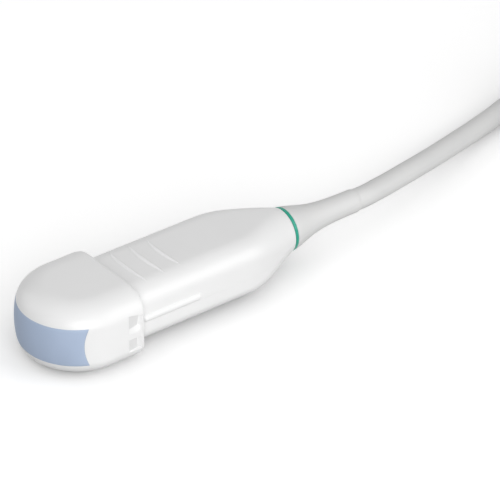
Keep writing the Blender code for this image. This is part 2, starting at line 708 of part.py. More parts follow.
def build_handle(finish):
    """Two shells with their own crescents. They part under the side ribs, which belong to the upper one."""
    stations = [HANDLE_START, BELLY_START]
    taper_steps = 10
    first = max(TAPER_START, BELLY_START + GAP)
    stations += [first + (HANDLE_END - first) * step / taper_steps for step in range(taper_steps + 1)]
    outer = [handle_loop(station) for station in stations]
    inner = [handle_loop(station, HANDLE_WALL) for station in stations]
    ribs = bmesh.new()
    for side in (1, -1):
        add_mesh(ribs, side_rib(side))
    rib_tool = add_cutter("cutter_side_ribs", ribs)
    reach = 2 * HANDLE_WIDTH
    core = [handle_loop(HANDLE_START - GAP, HANDLE_WALL), handle_loop(BELLY_START, HANDLE_WALL)]
    core_tool = add_cutter("cutter_handle_core", loft(core))
    for name, level in (("handle_upper_shell", 1), ("handle_lower_shell", -1)):
        shell = add_object(name, sleeve(outer, inner), finish)
        ridges = bmesh.new()
        for number in range(CRESCENT_COUNT):
            station = CRESCENT_FIRST + number * CRESCENT_PITCH
            half_length = CRESCENT_FIRST_HALF_LENGTH - number * CRESCENT_SHORTENING
            add_mesh(ridges, crescent(station, half_length, level))
        combine(shell, add_cutter(f"cutter_ridges_{name}", ridges), 'UNION')
        combine(shell, rib_tool, 'UNION')
        combine(shell, core_tool, 'DIFFERENCE')
        near = MID_Z - PARTING_DROP + level * GAP / 2
        low, high = sorted((near, near - level * reach))
        half = box((-reach, -reach, low), (reach, 2 * reach, high))
        combine(shell, add_cutter(f"cutter_half_{name}", half), 'DIFFERENCE')


def build_nose_seal(finish):
    """An elastomer gasket on the handle's front edge, as wide as the head's cavity is high."""
    rear = HANDLE_START - GAP
    stations = (rear - NOSE_SEAL_THICKNESS, rear)
    outer = [handle_loop(station, GAP - HEAD_ROOM) for station in stations]
    inner = [handle_loop(station, HANDLE_WALL) for station in stations]
    add_object("nose_seal", sleeve(outer, inner), finish)


# Electronics

def chassis_half_width():
    return HANDLE_WIDTH / 2 - HANDLE_WALL - GAP


def build_board_carrier(finish):
    """A plate between the handle's side walls with two pads on each face for the boards."""
    half = chassis_half_width()
    front = ARC_Y + CHASSIS_FRONT
    rear = ARC_Y + CHASSIS_REAR
    plate = box((-half, front, MID_Z - CHASSIS_HALF_THICKNESS), (half, rear, MID_Z + CHASSIS_HALF_THICKNESS))
    carrier = add_object("board_carrier", plate, finish)
    high = CHASSIS_HALF_THICKNESS + CHASSIS_PAD_HEIGHT
    pads = bmesh.new()
    for start in (front + CHASSIS_PAD_MARGIN, rear - CHASSIS_PAD_MARGIN - CHASSIS_PAD_LENGTH):
        low_corner = (-BOARD_HALF_WIDTH, start, MID_Z - high)
        high_corner = (BOARD_HALF_WIDTH, start + CHASSIS_PAD_LENGTH, MID_Z + high)
        add_mesh(pads, box(low_corner, high_corner))
    combine(carrier, add_cutter("cutter_board_pads", pads), 'UNION')


def level_box(half_width, start, end, low, high, level):
    """A box between two stations, between two heights above the mid-plane, or below it for level -1."""
    bottom, top = sorted((MID_Z + level * low, MID_Z + level * high))
    return box((-half_width, ARC_Y + start, bottom), (half_width, ARC_Y + end, top))


def build_boards(board_finish, block_finish, comb_finish, shield_finish):
    front = CHASSIS_FRONT + BOARD_MARGIN
    rear = CHASSIS_REAR - BOARD_MARGIN
    flex_rear = front + FLEX_CONNECTOR_LENGTH
    comb_front = rear - COMB_LENGTH
    for suffix, level in (("upper", 1), ("lower", -1)):
        board = level_box(BOARD_HALF_WIDTH, front, rear, BOARD_LOW, BOARD_HIGH, level)
        add_object(f"board_{suffix}", board, board_finish)
        block = level_box(FLEX_HALF_WIDTH + GAP, front, flex_rear, ON_BOARD, FLEX_LOW - GAP, level)
        add_object(f"flex_connector_{suffix}", block, block_finish)
        comb = level_box(BUNDLE_HALF_WIDTH, comb_front, rear, ON_BOARD, ON_BOARD + COMB_HEIGHT, level)
        add_object(f"coax_comb_{suffix}", comb, comb_finish)
        start = flex_rear + SHIELD_CLEARANCE
        end = comb_front - SHIELD_CLEARANCE
        top = ON_BOARD + SHIELD_HEIGHT
        can = level_box(SHIELD_HALF_WIDTH, start, end, ON_BOARD, top, level)
        shield = add_object(f"shield_{suffix}", can, shield_finish)
        hollow = level_box(SHIELD_HALF_WIDTH - SHIELD_WALL, start + SHIELD_WALL, end - SHIELD_WALL,
                           ON_BOARD - BOARD_THICKNESS, top - SHIELD_WALL, level)
        combine(shield, add_cutter(f"cutter_shield_{suffix}", hollow), 'DIFFERENCE')


def build_coax_bundle(finish):
    """The cable's core: round where it leaves the cable, fanned out flat at the boards."""
    loops = []
    steps = 6
    start = CHASSIS_REAR + GAP
    for step in range(steps + 1):
        u = step / steps
        ease = 3 * u ** 2 - 2 * u ** 3
        half_width = BUNDLE_HALF_WIDTH * (1 - ease) + CORE_RADIUS * ease
        half_height = BUNDLE_HALF_HEIGHT * (1 - ease) + CORE_RADIUS * ease
        corner = CORE_RADIUS * 0.9
        points = rounded_section(half_width, half_height, max(0.0, half_width - corner) * (1 - u),
                                 max(0.0, half_height - corner) * (1 - u), steps=4)
        station = start + (BUNDLE_ROUND_STATION - start) * u
        loops.append([(x, ARC_Y + station, MID_Z + z) for x, z in points])
    end = FERRULE_START + FERRULE_LENGTH
    loops.append([(point[0], ARC_Y + end, point[2]) for point in loops[-1]])
    add_object("coax_bundle", loft(loops), finish)


# Neck

def build_ferrule(finish):
    """A crimped sleeve with a flange, round the cable's core."""
    bore = CORE_RADIUS + GAP
    profile = [(bore, 0), (SPIGOT_RADIUS, 0), (SPIGOT_RADIUS, FERRULE_FLANGE),
               (FERRULE_RADIUS, FERRULE_FLANGE), (FERRULE_RADIUS, FERRULE_LENGTH), (bore, FERRULE_LENGTH)]
    add_object("cable_ferrule", turned(profile, ROUND_STEPS, along_probe(FERRULE_START)), finish)


def build_neck_ring(finish):
    """The coloured band between handle and strain relief."""
    inner = SPIGOT_RADIUS + GAP
    outer = NECK_RADIUS
    profile = [(inner, 0), (outer, 0), (outer - RING_DROP, RING_WIDTH), (inner, RING_WIDTH)]
    add_object("colour_ring", turned(profile, ROUND_STEPS, along_probe(NECK_STATION)), finish)


def build_neck_seal(finish):
    centre = SPIGOT_RADIUS - GAP
    steps = 6
    profile = []
    for step in range(steps):
        angle = 2 * math.pi * step / steps
        profile.append((centre + SEAL_RADIUS * math.cos(angle), SEAL_RADIUS * math.sin(angle)))
    add_object("neck_seal", turned(profile, ROUND_STEPS, along_probe(SEAL_STATION)), finish)


def build_strain_relief(finish):
    """A flared boot: a grooved spigot inside the neck, a wide foot at the ring, and a long thin tip."""
    start = FERRULE_START + FERRULE_LENGTH + GAP
    groove = SPIGOT_RADIUS - GAP - SEAL_RADIUS - GAP
    groove_half = SEAL_RADIUS + GAP
    base = NECK_RADIUS - RING_DROP - BOOT_DROP
    profile = [(0, start), (SPIGOT_RADIUS, start), (SPIGOT_RADIUS, SEAL_STATION - groove_half),
               (groove, SEAL_STATION - groove_half), (groove, SEAL_STATION + groove_half),
               (SPIGOT_RADIUS, SEAL_STATION + groove_half), (SPIGOT_RADIUS, BOOT_START)]
    steps = 9
    length = BOOT_LENGTH - BOOT_TIP_ROUND
    for step in range(steps + 1):
        along = length * (step / steps) ** 1.2
        flare = math.exp(-(along / BOOT_FLARE) ** BOOT_FLARE_POWER)
        profile.append((BOOT_TIP_RADIUS + (base - BOOT_TIP_RADIUS) * flare, BOOT_START + along))
    profile.append((BOOT_TIP_RADIUS - BOOT_TIP_ROUND / 2, BOOT_END))
    profile.append((0, BOOT_END))
    add_object("strain_relief", turned(profile, ROUND_STEPS, along_probe(0)), finish)


# Cable and its stored coil

def lead_points():
    """Straight out of the boot's tip, then to the coil in a slow fall to the floor."""
    fall = MID_Z - CABLE_DIAMETER / 2 - GAP
    tip = Vector((0, ARC_Y + BOOT_END + GAP, MID_Z))
    start = tip + Vector((0, CABLE_DIAMETER / 10, 0))
    places = [start + Vector((x * MM, y * MM, -drop * fall)) for x, y, drop in LEAD_ROUTE]
    return [tip, *smooth_points(places, 2 * CABLE_DIAMETER)]


def ring_run():
    """How far from its tangent point a straight cable still clears the wound ring."""
    return math.sqrt((COIL_OUTER + GAP) ** 2 - (COIL_OUTER - CABLE_DIAMETER) ** 2)


def fold_centres():
    """Centres of the near and the far fold. The lead runs straight into the coil's left run."""
    lead_end = lead_points()[-1]
    near = Vector((lead_end.x + COIL_OUTER - CABLE_DIAMETER / 2, lead_end.y + ring_run()))
    return near, near + Vector((0, COIL_RUN))


def tail_points():
    """From where the cable leaves the far fold to the connector, level with its cable entry."""
    across, along = math.cos(TAIL_ANGLE), math.sin(TAIL_ANGLE)
    leaving = fold_centres()[1] + (COIL_OUTER - CABLE_DIAMETER / 2) * Vector((-across, along))
    start = leaving + ring_run() * Vector((along, across))
    places = [Vector((start.x + x * MM, start.y + y * MM, PLUG_CABLE_HEIGHT)) for x, y in TAIL_ROUTE]
    return smooth_points(places, CABLE_DIAMETER)


def coil_section(grow, steps=2):
    """Section of the wound bundle as (radius, height)."""
    half_width = (COIL_OUTER - COIL_INNER) / 2 + grow
    half_height = (COIL_TOP - COIL_BOTTOM) / 2 + grow
    points = rounded_rectangle(half_width, half_height, COIL_CORNER + grow, steps)
    middle = (COIL_TOP + COIL_BOTTOM) / 2
    return [(COIL_MEAN_RADIUS + x, middle + z) for x, z in points]


def build_coil(cable_finish, tie_finish):
    near, far = fold_centres()
    section = coil_section(0.0)
    bm = bmesh.new()
    columns = []
    for centre, first in ((far, 0.0), (near, math.pi)):
        for step in range(FOLD_STEPS + 1):
            angle = first + math.pi * step / FOLD_STEPS
            columns.append([bm.verts.new((centre.x + r * math.cos(angle), centre.y + r * math.sin(angle), z))
                            for r, z in section])
    for i in range(len(columns)):
        for j in range(len(section)):
            bm.faces.new((columns[i - 1][j - 1], columns[i][j - 1], columns[i][j], columns[i - 1][j]))
    add_object("cable_coil", closed_mesh(bm), cable_finish)
    middle = (near.y + far.y) / 2
    for number, side in enumerate((-1, 1), start=1):
        layers = [[[(near.x + side * r, y, z) for r, z in coil_section(grow)]
                   for y in (middle - TIE_HALF_WIDTH, middle + TIE_HALF_WIDTH)]
                  for grow in (GAP + TIE_THICKNESS, GAP)]
        add_object(f"coil_tie_{number}", sleeve(*layers), tie_finish)


def build_cable(finish):
    cable_tube("cable_lead", lead_points(), finish)
    cable_tube("cable_tail", tail_points(), finish)


# System connector, built about its own empty

def plug_outline(inset=0.0):
    return rounded_rectangle(PLUG_HALF_WIDTH - inset, PLUG_HALF_LENGTH - inset, PLUG_CORNER - inset, 3)


def plug_half(parting, face, rounding, direction):
    """A housing half's outer form: straight from the parting face, rounded towards its closed face."""
    levels = [(parting, 0.0), (face - direction * rounding, 0.0)]
    for step in (1, 2):
        angle = math.pi / 2 * step / 2
        levels.append((face - direction * rounding * (1 - math.sin(angle)), rounding * (1 - math.cos(angle))))
    return loft([[(x, y, z) for x, y in plug_outline(inset)] for z, inset in levels])


def rod(x, y, low, high, radius, steps=SMALL_ROUND_STEPS):
    profile = [(0, low), (radius, low), (radius, high), (0, high)]
    return turned(profile, steps, Matrix.Translation((x, y, 0)))


def screw_places():
    x = PLUG_HALF_WIDTH - SCREW_INSET
    y = PLUG_HALF_LENGTH - SCREW_INSET
    return [(x, y), (-x, y), (-x, -y), (x, -y)]


def build_plug_housing(finish, plug):
    """Base and cover, each a shell with four screw posts, parted at the height of the cable."""
    head_low = PLUG_TOP - SCREW_SINK - SCREW_HEAD_HEIGHT - GAP
    halves = (
        ("plug_base", PLUG_PARTING_LOW, PLUG_BOTTOM, PLUG_BOTTOM_ROUND, -1, PLUG_FLOOR),
        ("plug_cover", PLUG_PARTING_HIGH, PLUG_TOP, PLUG_TOP_ROUND, 1, PLUG_ROOF),
    )
    entry_radius = RELIEF_NECK_RADIUS + GAP
    entry_profile = [(0, 0), (entry_radius, 0), (entry_radius, 4 * PLUG_WALL), (0, 4 * PLUG_WALL)]
    entry = turned(entry_profile, ROUND_STEPS, plug_axis(PLUG_HALF_LENGTH - 3 * PLUG_WALL))
    entry_tool = add_cutter("cutter_plug_entry", entry, plug)
    bores = bmesh.new()
    for x, y in screw_places():
        add_mesh(bores, rod(x, y, SCREW_END - GAP, head_low + GAP, SCREW_SHANK_RADIUS + GAP, 12))
    bore_tool = add_cutter("cutter_screw_bores", bores, plug)
    for name, parting, face, rounding, direction, inner_face in halves:
        shell = add_object(name, plug_half(parting, face, rounding, direction), finish, plug)
        hollow = prism(plug_outline(PLUG_WALL), parting - direction * PLUG_WALL, inner_face)
        combine(shell, add_cutter(f"cutter_hollow_{name}", hollow, plug), 'DIFFERENCE')
        posts = bmesh.new()
        for x, y in screw_places():
            low, high = sorted((parting, inner_face + direction * PLUG_WALL / 2))
            add_mesh(posts, rod(x, y, low, high, POST_RADIUS))
        combine(shell, add_cutter(f"cutter_posts_{name}", posts, plug), 'UNION')
        combine(shell, bore_tool, 'DIFFERENCE')
        combine(shell, entry_tool, 'DIFFERENCE')
        if direction < 0:
            mouth = prism(mating_outline(GAP), PLUG_BOTTOM - PLUG_WALL, PLUG_FLOOR + PLUG_WALL)
            combine(shell, add_cutter("cutter_plug_mouth", mouth, plug), 'DIFFERENCE')
        else:
            seats = bmesh.new()
            for x, y in screw_places():
                add_mesh(seats, rod(x, y, head_low, PLUG_TOP + PLUG_WALL, SCREW_HEAD_RADIUS + GAP))
            low, high = PLUG_ROOF - PLUG_WALL, PLUG_TOP + PLUG_WALL
            add_mesh(seats, rod(0, LOCK_OFFSET, low, high, BUSHING_RADIUS + GAP, ROUND_STEPS))
            combine(shell, add_cutter("cutter_cover_seats", seats, plug), 'DIFFERENCE')


def build_screws(finish, plug):
    """Slotted cheese-head screws, one at each corner, through the cover into the base."""
    top = PLUG_TOP - SCREW_SINK
    neck = top - SCREW_HEAD_HEIGHT
    profile = [(0, SCREW_END), (SCREW_SHANK_RADIUS, SCREW_END), (SCREW_SHANK_RADIUS, neck),
               (SCREW_HEAD_RADIUS, neck), (SCREW_HEAD_RADIUS, top), (0, top)]
    for number, (x, y) in enumerate(screw_places(), start=1):
        placement = Matrix.Translation((x, y, 0))
        screw = add_object(f"cover_screw_{number}", turned(profile, 12, placement), finish, plug)
        reach = 2 * SCREW_HEAD_RADIUS
        half = SCREW_SLOT_WIDTH / 2
        low, high = top - SCREW_SLOT_DEPTH, top + SCREW_SLOT_DEPTH
        slot = box((x - reach, y - half, low), (x + reach, y + half, high))
        combine(screw, add_cutter(f"cutter_slot_{number}", slot, plug), 'DIFFERENCE')


def mating_outline(grow):
    """The mating frame's outline, grown or shrunk all round."""
    half_width = MATING_HALF_WIDTH + grow
    half_length = MATING_HALF_LENGTH + grow
    points = rounded_rectangle(half_width, half_length, MATING_CORNER + grow, 4)
    return [(x, LOCK_OFFSET + y) for x, y in points]


def build_mating_frame(finish, plug):
    """A metal frame that stands out below the base and is kept in by a flange above its floor."""
    levels = (0.0, FLANGE_LOW, FLANGE_LOW, FLANGE_HIGH)
    grows = (0.0, 0.0, MATING_FLANGE, MATING_FLANGE)
    outer = [[(x, y, z) for x, y in mating_outline(grow)] for z, grow in zip(levels, grows)]
    inner = [[(x, y, z) for x, y in mating_outline(-MATING_WALL)] for z in levels]
    add_object("mating_frame", sleeve(outer, inner), finish, plug)


def build_contact_block(finish, plug):
    """The insulator: a block inside the frame, a cap that rests on it, and two groups of contact pockets."""
    narrow = mating_outline(-MATING_WALL - GAP)
    wide = mating_outline(MATING_FLANGE)
    levels = ((CONTACT_FACE, narrow), (CAP_LOW, narrow), (CAP_LOW, wide), (CAP_HIGH, wide))
    body = loft([[(x, y, z) for x, y in points] for z, points in levels])
    block = add_object("contact_block", body, finish, plug)
    tools = bmesh.new()
    half = CONTACT_SIZE / 2
    for group in (-1, 1):
        for row in range(CONTACT_ROWS):
            for column in range(CONTACT_COLUMNS):
                x = CONTACT_PITCH * (column - (CONTACT_COLUMNS - 1) / 2)
                along = CONTACT_PITCH * (row - (CONTACT_ROWS - 1) / 2)
                y = LOCK_OFFSET + group * CONTACT_GROUP_OFFSET + along
                low = (x - half, y - half, CONTACT_FACE - CONTACT_DEPTH)
                add_mesh(tools, box(low, (x + half, y + half, CONTACT_FACE + CONTACT_DEPTH)))
    add_mesh(tools, rod(0, LOCK_OFFSET, 0, PLUG_TOP, SHAFT_RADIUS + GAP))
    combine(block, add_cutter("cutter_contacts", tools, plug), 'DIFFERENCE')


def build_plug_board(finish, plug):
    low = CAP_HIGH + GAP
    half_x = MATING_HALF_WIDTH
    half_y = MATING_HALF_LENGTH + MATING_FLANGE
    high = low + PLUG_BOARD_THICKNESS
    plate = box((-half_x, LOCK_OFFSET - half_y, low), (half_x, LOCK_OFFSET + half_y, high))
    board = add_object("plug_board", plate, finish, plug)
    hole = rod(0, LOCK_OFFSET, 0, PLUG_TOP, SHAFT_RADIUS + 3 * GAP)
    combine(board, add_cutter("cutter_plug_board_hole", hole, plug), 'DIFFERENCE')


def build_bushing(finish, plug):
    """A flanged bush in the cover's roof that carries the lock shaft."""
    bore = SHAFT_RADIUS + GAP
    flange_top = BUSHING_LOW + BUSHING_FLANGE
    profile = [(bore, BUSHING_LOW), (BUSHING_FLANGE_RADIUS, BUSHING_LOW), (BUSHING_FLANGE_RADIUS, flange_top),
               (BUSHING_RADIUS, flange_top), (BUSHING_RADIUS, PLUG_TOP), (bore, PLUG_TOP)]
    placement = Matrix.Translation((0, LOCK_OFFSET, 0))
    add_object("lock_bushing", turned(profile, ROUND_STEPS, placement), finish, plug)


def build_lock_shaft(finish, axis):
    """The turning shaft: a cross-bar below, a groove for its clip and a plain end inside the handle."""
    groove = SHAFT_RADIUS - CLIP_GROOVE_DEPTH
    top = KNOB_LOW + SHAFT_ENGAGEMENT
    low, high = CLIP_LOW - GAP, CLIP_HIGH + GAP
    profile = [(0, SHAFT_BOTTOM), (SHAFT_RADIUS, SHAFT_BOTTOM), (SHAFT_RADIUS, low), (groove, low),
               (groove, high), (SHAFT_RADIUS, high), (SHAFT_RADIUS, top), (0, top)]
    shaft = add_object("lock_shaft", turned(profile, SMALL_ROUND_STEPS), finish, axis)
    bar_low = (-LUG_HALF_LENGTH, -LUG_HALF_WIDTH, SHAFT_BOTTOM - GAP)
    bar = box(bar_low, (LUG_HALF_LENGTH, LUG_HALF_WIDTH, SHAFT_BOTTOM + LUG_HEIGHT))
    combine(shaft, add_cutter("cutter_lock_lug", bar, axis), 'UNION')


def build_lock_clip(finish, axis):
    """A C-shaped retaining clip in the shaft's groove, just under the bushing."""
    inner = SHAFT_RADIUS - CLIP_GROOVE_DEPTH + GAP
    steps = 14
    outline = []
    for radius, order in ((CLIP_RADIUS, 1), (inner, -1)):
        span = 2 * math.pi - CLIP_OPENING
        angles = [CLIP_OPENING / 2 + span * step / steps for step in range(steps + 1)]
        outline += [(radius * math.cos(a), radius * math.sin(a)) for a in angles][::order]
    add_object("lock_clip", prism(outline, CLIP_LOW, CLIP_HIGH), finish, axis)


def build_lock_knob(finish, axis):
    """A low disc with a grip bar across it and a blind bore for the shaft."""
    rim = KNOB_THICKNESS / 3
    profile = [(0, KNOB_LOW), (KNOB_RADIUS, KNOB_LOW), (KNOB_RADIUS, KNOB_HIGH - rim),
               (KNOB_RADIUS - rim / 3, KNOB_HIGH - rim / 3), (KNOB_RADIUS - rim, KNOB_HIGH), (0, KNOB_HIGH)]
    knob = add_object("lock_knob", turned(profile, 32), finish, axis)
    loops = []
    rounding = KNOB_BAR_HALF_WIDTH / 2
    levels = ((KNOB_HIGH - rim, 0.0), (KNOB_BAR_TOP - rounding, rounding / 4),
              (KNOB_BAR_TOP - rounding / 3, rounding / 2), (KNOB_BAR_TOP, rounding))
    for z, inset in levels:
        half_width = KNOB_BAR_HALF_WIDTH - inset
        points = rounded_rectangle(half_width, KNOB_BAR_HALF_LENGTH - inset, half_width - GAP, 4)
        loops.append([(x, y, z) for x, y in points])
    combine(knob, add_cutter("cutter_knob_bar", loft(loops), axis), 'UNION')
    bore = rod(0, 0, KNOB_LOW - KNOB_THICKNESS, KNOB_LOW + SHAFT_ENGAGEMENT + GAP, SHAFT_RADIUS + GAP)
    combine(knob, add_cutter("cutter_knob_bore", bore, axis), 'DIFFERENCE')


def plug_axis(y):
    """Placement on the plug's cable axis, with local Z towards the cable."""
    return Matrix.Translation((0, y, PLUG_CABLE_HEIGHT)) @ Matrix.Rotation(-math.pi / 2, 4, 'X')


def build_plug_strain_relief(finish, plug):
    """A ringed, tapered boot that is held in the housing's end wall by a flange on each side."""
    inner_face = -PLUG_WALL - GAP
    inner_flange = RELIEF_NECK_RADIUS + (RELIEF_FLANGE_RADIUS - RELIEF_NECK_RADIUS) / 2
    inner_end = inner_face - RELIEF_FLANGE
    profile = [(0, inner_end), (inner_flange, inner_end), (inner_flange, inner_face),
               (RELIEF_NECK_RADIUS, inner_face), (RELIEF_NECK_RADIUS, GAP), (RELIEF_FLANGE_RADIUS, GAP),
               (RELIEF_FLANGE_RADIUS, RELIEF_FLANGE)]
    pitch = (RELIEF_LENGTH - RELIEF_FLANGE) / RELIEF_RINGS
    for ring in range(RELIEF_RINGS):
        start = RELIEF_FLANGE + ring * pitch
        radius = RELIEF_BASE_RADIUS + (RELIEF_TIP_RADIUS - RELIEF_BASE_RADIUS) * ring / (RELIEF_RINGS - 1)
        low = radius - RELIEF_RING_DEPTH
        step_up = start + pitch / 3
        profile += [(low, start), (low, step_up), (radius, step_up), (radius, start + pitch)]
    profile.append((0, RELIEF_LENGTH))
    boot = turned(profile, SMALL_ROUND_STEPS, plug_axis(PLUG_HALF_LENGTH))
    add_object("plug_strain_relief", boot, finish, plug)


def build_plug_clamp(finish, plug):
    """A saddle on the base's floor that grips the cable's core."""
    end = clamp_end()
    block = box((-CLAMP_HALF_WIDTH, end - CLAMP_LENGTH, PLUG_FLOOR + GAP), (CLAMP_HALF_WIDTH, end, CLAMP_TOP))
    clamp = add_object("plug_clamp", block, finish, plug)
    bore = CABLE_DIAMETER / 2 + GAP
    profile = [(0, -CLAMP_LENGTH), (bore, -CLAMP_LENGTH), (bore, 2 * CLAMP_LENGTH), (0, 2 * CLAMP_LENGTH)]
    hole = turned(profile, SMALL_ROUND_STEPS, plug_axis(end - CLAMP_LENGTH))
    combine(clamp, add_cutter("cutter_plug_clamp", hole, plug), 'DIFFERENCE')


def clamp_end():
    return PLUG_HALF_LENGTH - PLUG_WALL - 2 * GAP - RELIEF_FLANGE - GAP


def build_plug_wires(finish, plug):
    """The cable's core inside the connector, from the strain relief through the clamp to the board."""
    radius = CABLE_DIAMETER / 2
    start = LOCK_OFFSET + MATING_HALF_LENGTH + MATING_FLANGE + GAP
    end = clamp_end()
    profile = [(0, 0), (radius, 0), (radius, end - start), (0, end - start)]
    add_object("plug_wires", turned(profile, SMALL_ROUND_STEPS, plug_axis(start)), finish, plug)


def build_plug(finishes):
    plug = bpy.data.objects.new("plug_frame", None)
    cable_end = tail_points()[-1]
    plug.location = (cable_end.x, cable_end.y + GAP + RELIEF_LENGTH + PLUG_HALF_LENGTH, 0)
    plug.rotation_euler = (0, 0, math.pi)
    bpy.context.scene.collection.objects.link(plug)
    axis = bpy.data.objects.new("lock_axis", None)
    axis.parent = plug
    axis.location = (0, LOCK_OFFSET, 0)
    bpy.context.scene.collection.objects.link(axis)
    build_plug_housing(finishes["grey_plastic"], plug)
    build_screws(finishes["steel"], plug)
    build_mating_frame(finishes["steel"], plug)
    build_contact_block(finishes["dark_plastic"], plug)
    build_plug_board(finishes["board_green"], plug)
    build_bushing(finishes["brass"], plug)
    build_plug_strain_relief(finishes["cable_grey"], plug)
    build_plug_clamp(finishes["dark_plastic"], plug)
    build_plug_wires(finishes["copper_braid"], plug)
    build_lock_shaft(finishes["steel"], axis)
    build_lock_clip(finishes["steel"], axis)
    build_lock_knob(finishes["grey_plastic"], axis)


def make_finishes():
    """Plain colours: one material for each kind of real surface."""
    values = {
        "white_plastic": ((0.80, 0.80, 0.79), 0.35, 0.0),
        "lens_silicone": ((0.38, 0.47, 0.67), 0.5, 0.0),
        "matching_epoxy": ((0.10, 0.11, 0.14), 0.5, 0.0),
        "matching_graphite": ((0.05, 0.05, 0.05), 0.6, 0.0),
        "piezo_ceramic": ((0.72, 0.66, 0.50), 0.55, 0.0),
        "backing_epoxy": ((0.06, 0.06, 0.07), 0.8, 0.0),
        "dark_plastic": ((0.04, 0.04, 0.045), 0.45, 0.0),
        "flex_polyimide": ((0.55, 0.28, 0.05), 0.35, 0.0),
        "seal_rubber": ((0.30, 0.31, 0.33), 0.8, 0.0),
        "board_green": ((0.02, 0.17, 0.08), 0.4, 0.0),
        "steel": ((0.62, 0.62, 0.63), 0.3, 1.0),
        "brass": ((0.72, 0.52, 0.22), 0.3, 1.0),
        "copper_braid": ((0.70, 0.45, 0.30), 0.45, 1.0),
        "teal_plastic": ((0.01, 0.36, 0.27), 0.4, 0.0),
        "cable_grey": ((0.66, 0.66, 0.67), 0.5, 0.0),
        "tie_fabric": ((0.10, 0.10, 0.11), 0.9, 0.0),
        "grey_plastic": ((0.55, 0.56, 0.58), 0.4, 0.0),
    }
    return {name: plain_material(name, *value) for name, value in values.items()}


def main():
    clear_scene()
    finishes = make_finishes()
    build_head(finishes["white_plastic"])
    build_lens(finishes["lens_silicone"])
    build_matching_layers(finishes["matching_epoxy"], finishes["matching_graphite"])
    build_piezo_array(finishes["piezo_ceramic"])
    build_backing(finishes["backing_epoxy"])
    build_array_frame(finishes["dark_plastic"])
    build_flex_circuits(finishes["flex_polyimide"])
    build_handle(finishes["white_plastic"])
    build_nose_seal(finishes["seal_rubber"])
    build_board_carrier(finishes["dark_plastic"])
    build_boards(finishes["board_green"], finishes["dark_plastic"], finishes["steel"], finishes["steel"])
    build_coax_bundle(finishes["copper_braid"])
    build_ferrule(finishes["brass"])
    build_neck_ring(finishes["teal_plastic"])
    build_neck_seal(finishes["seal_rubber"])
    build_strain_relief(finishes["cable_grey"])
    build_cable(finishes["cable_grey"])
    build_coil(finishes["cable_grey"], finishes["tie_fabric"])
    build_plug(finishes)


main()
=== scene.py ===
# %% [markdown]
# # A curved-array ultrasound probe and its cable
#
# The frame is a finished CAD model of the probe: its solids are right in size, but plain. This lesson dresses
# it. Each visible part is drawn again as a fine mesh in the same place, with the finish of the real one, and
# the hidden parts keep their solids and get a finish of their own. Lengths are in millimetres until a mesh is
# made, because that is how such a part is drawn and measured.

# %% Load the frame
import math

import bmesh
import bpy
import numpy as np
from mathutils import Matrix, Vector


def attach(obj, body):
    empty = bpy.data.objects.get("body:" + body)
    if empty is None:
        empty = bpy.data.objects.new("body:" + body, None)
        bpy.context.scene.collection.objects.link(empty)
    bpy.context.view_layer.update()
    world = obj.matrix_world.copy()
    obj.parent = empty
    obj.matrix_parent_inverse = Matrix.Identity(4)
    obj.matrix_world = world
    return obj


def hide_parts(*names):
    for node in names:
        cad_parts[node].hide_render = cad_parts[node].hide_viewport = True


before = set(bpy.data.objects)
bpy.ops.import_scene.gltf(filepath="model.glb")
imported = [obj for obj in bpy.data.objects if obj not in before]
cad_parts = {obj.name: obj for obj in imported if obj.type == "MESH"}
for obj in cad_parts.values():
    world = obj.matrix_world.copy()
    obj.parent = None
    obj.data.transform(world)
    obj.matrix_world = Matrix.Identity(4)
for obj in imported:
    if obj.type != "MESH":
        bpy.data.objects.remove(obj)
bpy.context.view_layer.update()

MM = 0.001


def into_scene(name, data):
    """A new object in the scene that holds the data: a mesh, a curve, a camera or a lamp."""
    item = bpy.data.objects.new(name, data)
    bpy.context.scene.collection.objects.link(item)
    return item


# %% [markdown]
# ## The camera
#
# A product photograph of a long, slim object is taken from far away with a long lens, so that the near end
# doesn't look swollen. The camera is placed by two angles and a distance round a target point. That is easier
# to tune than a location and a rotation, and it matches how a photographer walks round a table.

# %% The camera
PHOTO_AZIMUTH = math.radians(52.546)
PHOTO_ELEVATION = math.radians(32.621)
PHOTO_DISTANCE = 1.5
PHOTO_TARGET = Vector((0.003749, 0.022622, 0.0145))
FOCAL_LENGTH = 291.6
SENSOR_WIDTH = 36.0


def camera_frame(azimuth, elevation):
    """Right, up and backward directions of a camera that looks at the target."""
    right = Vector((math.cos(azimuth), math.sin(azimuth), 0.0))
    back = Vector((math.sin(azimuth) * math.cos(elevation),
                   -math.cos(azimuth) * math.cos(elevation), math.sin(elevation)))
    return right, back.cross(right), back


right, up, back = camera_frame(PHOTO_AZIMUTH, PHOTO_ELEVATION)
lens = bpy.data.cameras.new("photo_lens")
lens.lens = FOCAL_LENGTH
lens.sensor_width = SENSOR_WIDTH
camera = into_scene("photo_camera", lens)
axes = Matrix((right, up, back)).transposed().to_4x4()
camera.matrix_world = Matrix.Translation(PHOTO_TARGET + PHOTO_DISTANCE * back) @ axes
bpy.context.scene.camera = camera
print("camera at", [round(v, 3) for v in camera.location])

# %% [markdown]
# ## The cable's route
#
# The cable is 8.5 mm thick and leaves the boot level with the probe's axis. It is stiff enough to hold itself
# up for a while, so it sinks slowly to the table. The 1.6 m that the picture doesn't show are wound into a
# long coil in line with the probe: two straight runs and two folds of three diameters' radius, two turns wide
# and three high, with a strap round each run. The system connector is at its end.
#
# A route could be drawn by hand, but a few numbers say it better: the lead's points, then a place on the long
# turn with a column and a layer for each point of the coil. A change of column or layer takes about an eighth
# of a turn and comes a little sooner than the one before it, so that no strand has to pass through another.
# The first point lies inside the boot and the last one inside the connector's sleeve, so that no gap shows.

